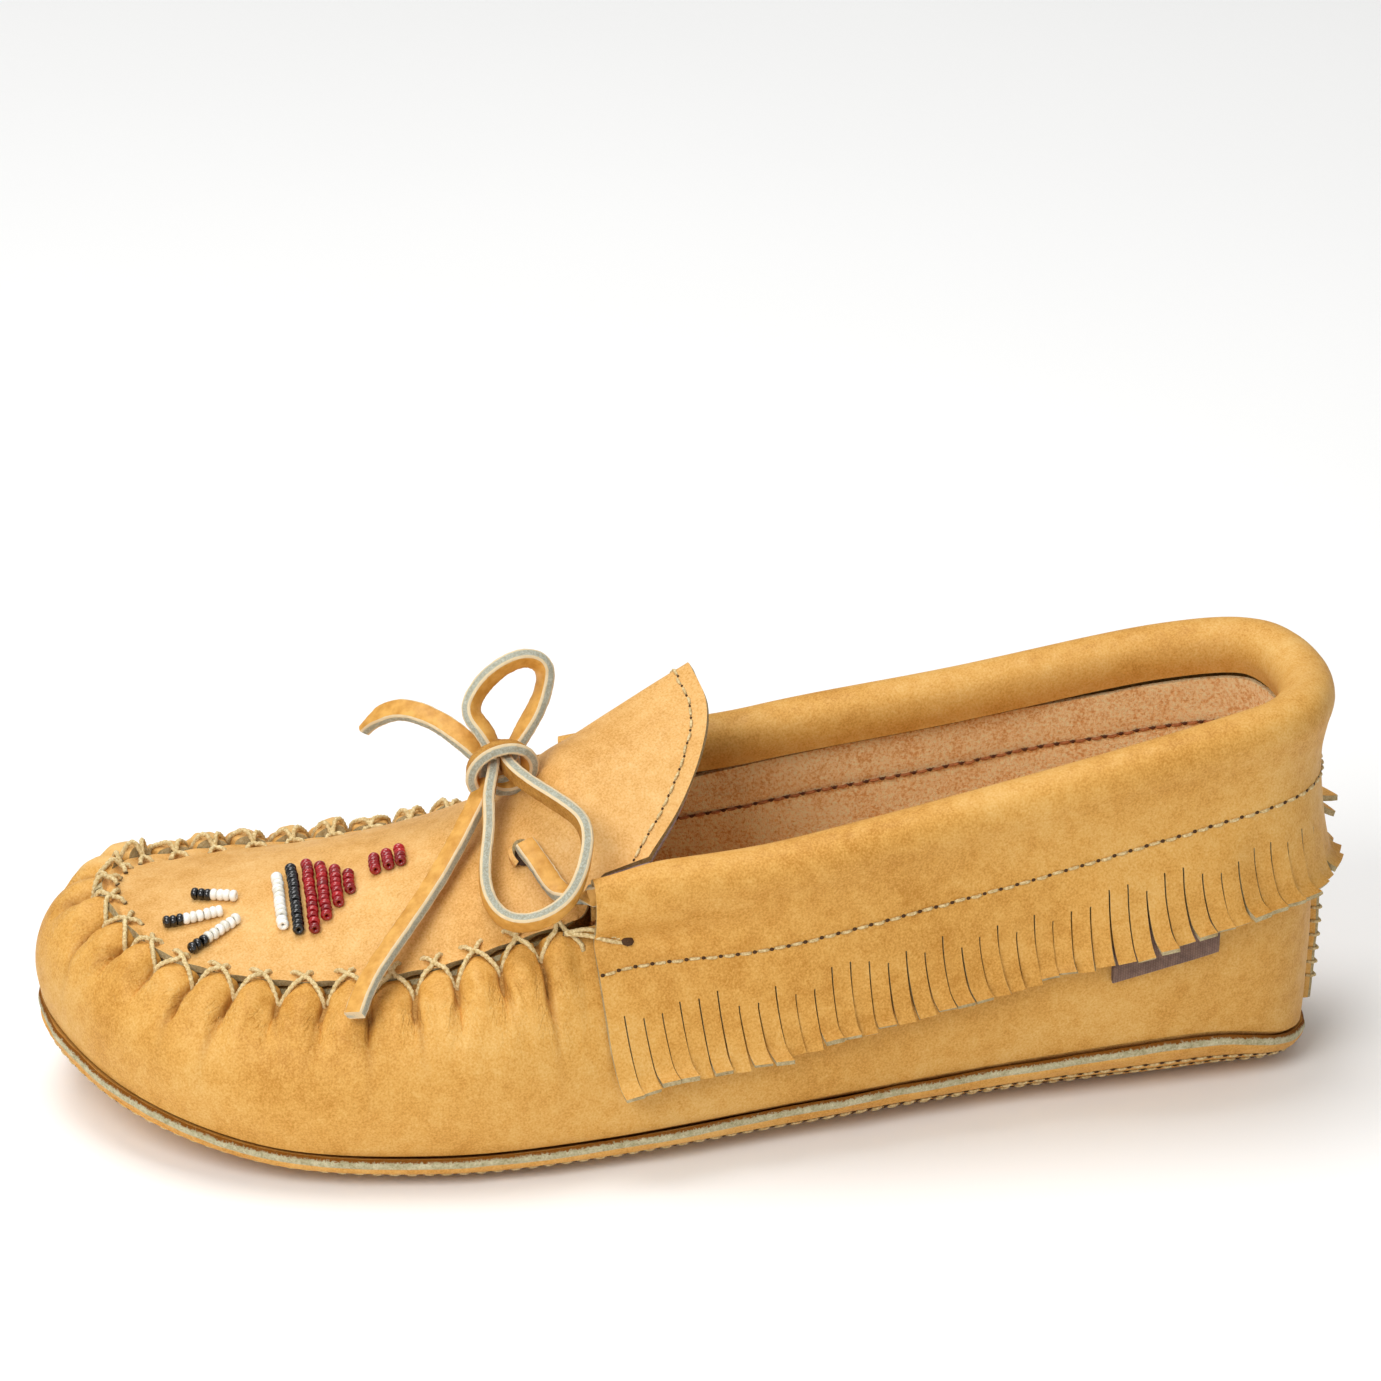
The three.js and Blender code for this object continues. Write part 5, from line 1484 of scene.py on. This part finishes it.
def collar_sections(stations, count):
    """The collar strip's middle line at each station, from the slits up over the roll."""
    top = crest(stations)
    outs, heights = [], []
    for k, (off, below) in enumerate(FLAP):
        lift = 0 if k else tab_lift(stations)
        point = wall_at_height(stations, top - below, off + lift)
        outs.append(out_of(stations, point))
        heights.append(point[:, 2])
    rim_out = roll_middle(stations)
    pressed = 0.55 * smooth(4.55, 4.93, np.abs(stations))
    for off, below in ROLL:
        outs.append(rim_out + mix(off, 1.5, pressed))
        heights.append(top - below - 0.8 * pressed)
    knots = np.stack([np.stack(outs, 1), np.stack(heights, 1)], -1)
    return np.stack([curve_through(section, count) for section in knots])


def strand_stations():
    """Stations of every column of the collar: four to a strand, with a narrow slit after each four."""
    slit_line = lambda s: wall_at_height(s, crest(s) - SLIT_BELOW_CREST)
    total = line_lengths(slit_line(np.linspace(COLLAR_END, -COLLAR_END, 1200)))[-1]
    count = round(total / STRAND_PITCH)
    edges = even_stations(slit_line, COLLAR_END, -COLLAR_END, count)
    trim = STRAND_SLIT / 2 / STRAND_PITCH
    w = np.linspace(trim, 1 - trim, STRAND_COLUMNS)
    return (edges[:-1, None] + np.diff(edges)[:, None] * w).ravel(), count


def drift(count, pace, seed):
    """A slow wander from strand to strand, from about -1 to 1."""
    return np.array([2 * noise.noise((k * pace, seed, 0.5)) for k in range(count)])


def fringe_rows(stations, count):
    """The strands hang together, bowed towards the heel, and each end curls and is cut in its own way."""
    strand = np.repeat(np.arange(count), STRAND_COLUMNS)
    column = np.tile(np.linspace(-1, 1, STRAND_COLUMNS), count)
    nearest = stations.reshape(count, STRAND_COLUMNS).mean(1)
    stray = bell((nearest - STRAY_STATION) / 0.1)[strand]
    bend = (1 + 0.3 * drift(count, 0.31, 1) + random.normal(0, 0.07, count))[strand]
    lean = (1.6 + 0.7 * drift(count, 0.23, 2) + random.normal(0, 0.16, count))[strand]
    lean = lean * np.clip(np.abs(nearest[strand]) / 0.6, 0, 1)
    shingle = (0.26 + random.normal(0, 0.1, count))[strand]
    length = (1 + random.normal(0, 0.02, count))[strand]
    curl = np.clip(0.75 + 0.5 * drift(count, 0.7, 3) + random.normal(0, 0.3, count), 0.1, 1.8)[strand]
    forward = unit(beside(stations + 0.004, 0, 0) - beside(stations - 0.004, 0, 0))
    heelward = -np.sign(stations)[:, None] * forward
    outward = outward_of(stations)
    rows = []
    for q in np.linspace(0, 1, FRINGE_ROWS + 1)[1:] ** 0.85:
        tip = max(0.0, (q - CURL_FROM) / CURL_PART) ** 2
        below = SLIT_BELOW_CREST + (FRINGE_BELOW_CREST - SLIT_BELOW_CREST) * q * length
        below = below - tip * curl * 0.9 - stray * 6 * q**2
        off = FLAP_OFF + tab_lift(stations) + flare(stations) * 0.7 * bend * q**1.7
        off = off + 1.9 * curl * tip + stray * 6.5 * q**1.5
        point = wall_at_height(stations, crest(stations) - below, off)
        point = point + heelward * (lean * q**2)[:, None]
        point = point + outward * (column * np.sign(stations) * shingle * q)[:, None]
        rows.append(point)
    return np.stack(rows)


def collar_relief(points):
    """The slow unevenness of the collar's hide."""
    return 0.4 * cloud(points, 30, 13) + 0.15 * cloud(points, 9, 14)


def make_collar():
    """The collar strip and its fringe, one leather, from the roll's inner end down to the strands' tips."""
    stations, count = strand_stations()
    sections = collar_sections(stations, COLLAR_ROWS)
    strip = beside(stations[:, None], sections[..., 0], sections[..., 1])
    grid = np.concatenate([np.swapaxes(strip, 0, 1)[::-1], fringe_rows(stations, count)])
    weight = np.concatenate([smooth(0, 1, np.linspace(0, 1, COLLAR_ROWS)), np.ones(FRINGE_ROWS)])[:, None]
    grid = grid + outward_of(stations)[None] * (collar_relief(grid) * weight)[..., None]
    rows, columns = grid.shape[:2]
    keep = np.ones((rows - 1, columns - 1), bool)
    for slit in range(STRAND_COLUMNS - 1, columns - 1, STRAND_COLUMNS):
        keep[COLLAR_ROWS - 1 + random.integers(-1, 3) :, slit] = False
    piece = sheet("collar", grid, COLLAR_THICK, [UPPER, FLESH, EDGE], offset=0, keep=keep)
    sewn_on(piece, "upper_leather", "collar_fringe")


def make_collar_stitches():
    """The row that sews the collar to the wall, above the fringe."""
    stations = np.linspace(COLLAR_END - 0.02, 0.02 - COLLAR_END, 500)
    z = crest(stations) - STITCH_BELOW_CREST
    line = wall_at_height(stations, z, FLAP_OFF + COLLAR_THICK / 2 + 0.02)
    line += outward_of(stations) * collar_relief(line)[:, None] * 0.8
    normals = unit(line - wall_at_height(stations, z, -1))
    sewn_on(stitches("collar_stitches", line, normals, 2.3, 0.95, 0.34), "thread", "collar_thread")


def make_tab():
    """A woven loop folded double under the fringe, its fold downwards."""
    stations = np.linspace(TAB_FROM, TAB_TO, 30)[:, None]
    off, below = curve_through(TAB_FOLD, 40).T
    grid = wall_at_height(stations, crest(stations) - below[None], off[None])
    grid = grid + outward_of(stations[:, 0])[:, None] * (0.12 * cloud(grid, 8, 15))[..., None]
    uv = spot(line_lengths(grid[:, 0])[:, None], line_lengths(grid[0])[None])[..., :2]
    piece = sheet("tab", grid, 0.5, [WOVEN] * 3, offset=0, uv=uv)
    sewn_on(piece, "woven", "side_tab")


# ---- Inside ----
def lining_depth(station):
    """How far inside the wall's outer face the lining lies; the counter is behind it at the heel."""
    return WRAP_THICK + LAYER_GAP + (COUNTER_THICK + LAYER_GAP) * (1 - smooth(2.2, 2.7, np.abs(station)))


def make_lining():
    """The suede inside the quarters, pressed in a little along its seam."""
    stations = np.linspace(4.8, -4.8, 300)[:, None]
    low = sole_top(stations, LAYER_INSET) + OVER_WRAP + FOAM_THICK + GAP + SOCK_THICK + 0.2
    high = crest(stations) - 10.5 - 3 * smooth(4, THROAT, from_heel(stations))
    z = mix(low, high, np.linspace(0, 1, 40)[None])
    depth = lining_depth(stations)
    base = wall_at_height(stations, z)
    relief = 0.35 * cloud(base, 22, 16) + 0.12 * cloud(base, 6, 17)
    seam = 0.35 * bell((z - (crest(stations) - STITCH_BELOW_CREST)) / 0.9)
    grid = wall_at_height(stations, z, -depth - LINING_THICK + 0.1 + relief + seam)
    faces = turned(grid, grid_faces(*grid.shape[:2]), outward=False)
    piece = make_object("lining", grid, faces, [PAINTED_LIGHT_SUEDE] * 3)
    thicken(piece, LINING_THICK)
    sewn_on(piece, "suede", "quarter_lining")


def make_lining_stitches():
    """The collar's seam as it shows on the suede."""
    stations = np.linspace(4.6, -4.6, 400)
    z = crest(stations) - STITCH_BELOW_CREST
    off = -lining_depth(stations) - LINING_THICK - 0.05
    line = wall_at_height(stations, z, off)
    normals = unit(wall_at_height(stations, z, off - 1) - line)
    piece = stitches("lining_stitches", line, normals, 2.2, 1.0, 0.33, 0.15, LINING_THREAD)
    sewn_on(piece, "thread", "lining_thread")


def layer(name, node, section, material, slot):
    """A disc inside the shoe from (inside, height above the sole's upper face) pairs."""
    stations = ring_stations(70, 100)
    rings = []
    for inside, lift in section:
        ring = beside(stations, -inside, sole_top(stations, inside) + lift)
        ring[:, 2] += 0.12 * cloud(ring, 14, 18)
        rings.append(ring)
    piece = disc_object(name, rings, [0] * (len(rings) - 1), [material], columns=30)
    sewn_on(piece, slot, node)
    return piece


def make_insole():
    """The suede sock over its foam insole, which is stepped where the wrap's edge lies under it."""
    middle = WRAP_UNDER + 1
    low = OVER_WRAP + FOAM_THICK + GAP + 0.15
    high = low + SOCK_THICK
    sock_section = [
        (middle, high), (7, high), (5.2, high), (LAYER_INSET, high - 0.3), (LAYER_INSET - 0.1, low + 0.3),
        (5, low), (middle, low)]
    layer("sock", "insole_sock", sock_section, PAINTED_LIGHT_SUEDE, "suede")
    top = OVER_WRAP + FOAM_THICK
    foam_section = [
        (middle, top), (5.4, top), (LAYER_INSET + 0.1, top - 0.7), (LAYER_INSET, OVER_WRAP + 0.8),
        (5.2, OVER_WRAP), (WRAP_UNDER + 0.4, OVER_WRAP), (middle, GAP + 0.2)]
    layer("foam_pad", "insole_foam", foam_section, FOAM, "foam")


# ---- Beads ----
def bead_part(centre, direction, tint):
    """A seed bead: a rounded ring whose hole lies along its thread."""
    sides, round_steps = 14, 9
    up = unit(np.cross(np.cross(direction, (0, 0, 1)), direction))
    hole_angles = np.linspace(0, 2 * np.pi, sides, endpoint=False)
    skin = np.linspace(0, 2 * np.pi, round_steps, endpoint=False)
    across = np.cross(direction, up)
    ring = across * np.cos(hole_angles)[:, None] + up * np.sin(hole_angles)[:, None]
    radial = 0.7 + 0.5 * np.cos(skin)
    along = BEAD_LENGTH / 2 * np.sin(skin)
    points = centre + ring[:, None] * radial[None, :, None] + direction * along[None, :, None]
    faces = grid_faces(sides, round_steps, close_rows=True, close_columns=True)
    return points, faces, tint


def bead_line(start, end):
    """Bead centres along a straight row over the plug, its ends given as (x, t), and the row's direction."""
    (x0, t0), (x1, t1) = start, end
    count = max(1, round(math.hypot(x1 - x0, t1 - t0) / BEAD_LENGTH))
    w = (np.arange(count) + 0.5) / count
    return on_plug(mix(x0, x1, w), mix(t0, t1, w), BEAD_LIFT), unit(np.array([x1 - x0, t0 - t1, 0.0]))


def bead_object(name, nodes, rows, slot, material, dark_tips=0):
    """Rows of beads, each a little askew, as one object; a row's first dark_tips beads are black."""
    parts, kinds = [], []
    for row in rows:
        centres, direction = bead_line(*row)
        for k, centre in enumerate(centres):
            heading = unit(direction + random.normal(0, 0.07, 3))
            parts.append(bead_part(centre + random.normal(0, 0.06, 3), heading, random.random()))
            kinds.append(np.full(len(parts[-1][1]), int(k < dark_tips)))
    points, faces, tint = joined_meshes(parts)
    piece = make_object(name, points, faces, [material, BEAD_BLACK], np.concatenate(kinds), {"tint": tint},
                        sharp=ALL_SMOOTH)
    sewn_on(piece, slot, *nodes)


def stepped(t, widths, middle):
    """Rows of beads across the plug, one behind the other, as the ends of each."""
    rows = [(t + k * BEAD_ROW, width / 2) for k, width in enumerate(widths)]
    return [((middle - half, row), (middle + half, row)) for row, half in rows]


def make_beads():
    """Three bars, the stepped rows behind them and a small patch of three rows."""
    bars = [((18, 221.5), (11, 211.7)), ((9.5, 226), (8, 214.5)), ((0.6, 220), (4.2, 211.5))]
    bead_object("bead_bars", ("bead_bar_outer", "bead_bar_middle", "bead_bar_inner"), bars, "bead_white",
                BEAD_WHITE, dark_tips=3)
    bead_object("bead_white_row", ("bead_step_white",), stepped(203.5, [16], 8), "bead_white", BEAD_WHITE)
    bead_object("bead_black_row", ("bead_step_black",), stepped(200.5, [20], 8), "bead_black", BEAD_BLACK)
    bead_object("bead_red_steps", ("bead_step_red",), stepped(190, [6, 11, 16, 21], 8), "bead_red", BEAD_RED)
    bead_object("bead_red_patch", ("bead_cluster",), stepped(179.8, [5, 5, 5], 5), "bead_red", BEAD_RED)


# ---- The heel counter: hidden, so it keeps its CAD shape ----
def finish_counter():
    """Gives the counter its board material."""
    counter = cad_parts["heel_counter"]
    counter.data.materials.clear()
    counter.data.materials.append(BOARD)


# ---- Studio ----
def make_studio():
    """A white floor, a dim white world and three soft lights."""
    half = 4000
    corners = np.array([(-half, -half, 0), (half, -half, 0), (half, half, 0), (-half, half, 0)])
    floor = make_object("floor", corners, [(0, 1, 2, 3)], [floor_finish()])
    floor.location.z = -0.0002
    world = bpy.data.worlds.new("world")
    world.use_nodes = True
    background = world.node_tree.nodes["Background"]
    background.inputs["Color"].default_value = (1, 1, 1, 1)
    background.inputs["Strength"].default_value = WORLD_STRENGTH
    bpy.context.scene.world = world
    for light in LIGHTS:
        area_light(*light)


def floor_finish():
    """Nearly white, a little glossy."""
    f = Finish("floor")
    color = f.ramp(f.noise(400, 2), [(0.3, (252, 252, 251)), (0.7, (255, 255, 254))])
    return f.wear(color, None, None, Roughness=0.45, Specular_IOR_Level=0.2)


def area_light(name, position, size, power):
    """A round soft light aimed at the shoe's middle."""
    data = bpy.data.lights.new(name, "AREA")
    data.shape = "DISK"
    data.size = size
    data.energy = power
    light = bpy.data.objects.new(name, data)
    light.location = position
    light.rotation_mode = "QUATERNION"
    light.rotation_quaternion = (Vector((0, 0, 0.03)) - Vector(position)).to_track_quat("-Z", "Y")
    bpy.context.scene.collection.objects.link(light)


aim_camera()
make_laces()
make_sole()
make_upper()
make_vamp()
make_tongue_lining()
make_tongue_stitches()
make_plug_stitches()
make_collar()
make_collar_stitches()
make_tab()
make_lining()
make_lining_stitches()
make_insole()
make_beads()
finish_counter()
make_studio()
bpy.context.scene.view_settings.view_transform = "Standard"
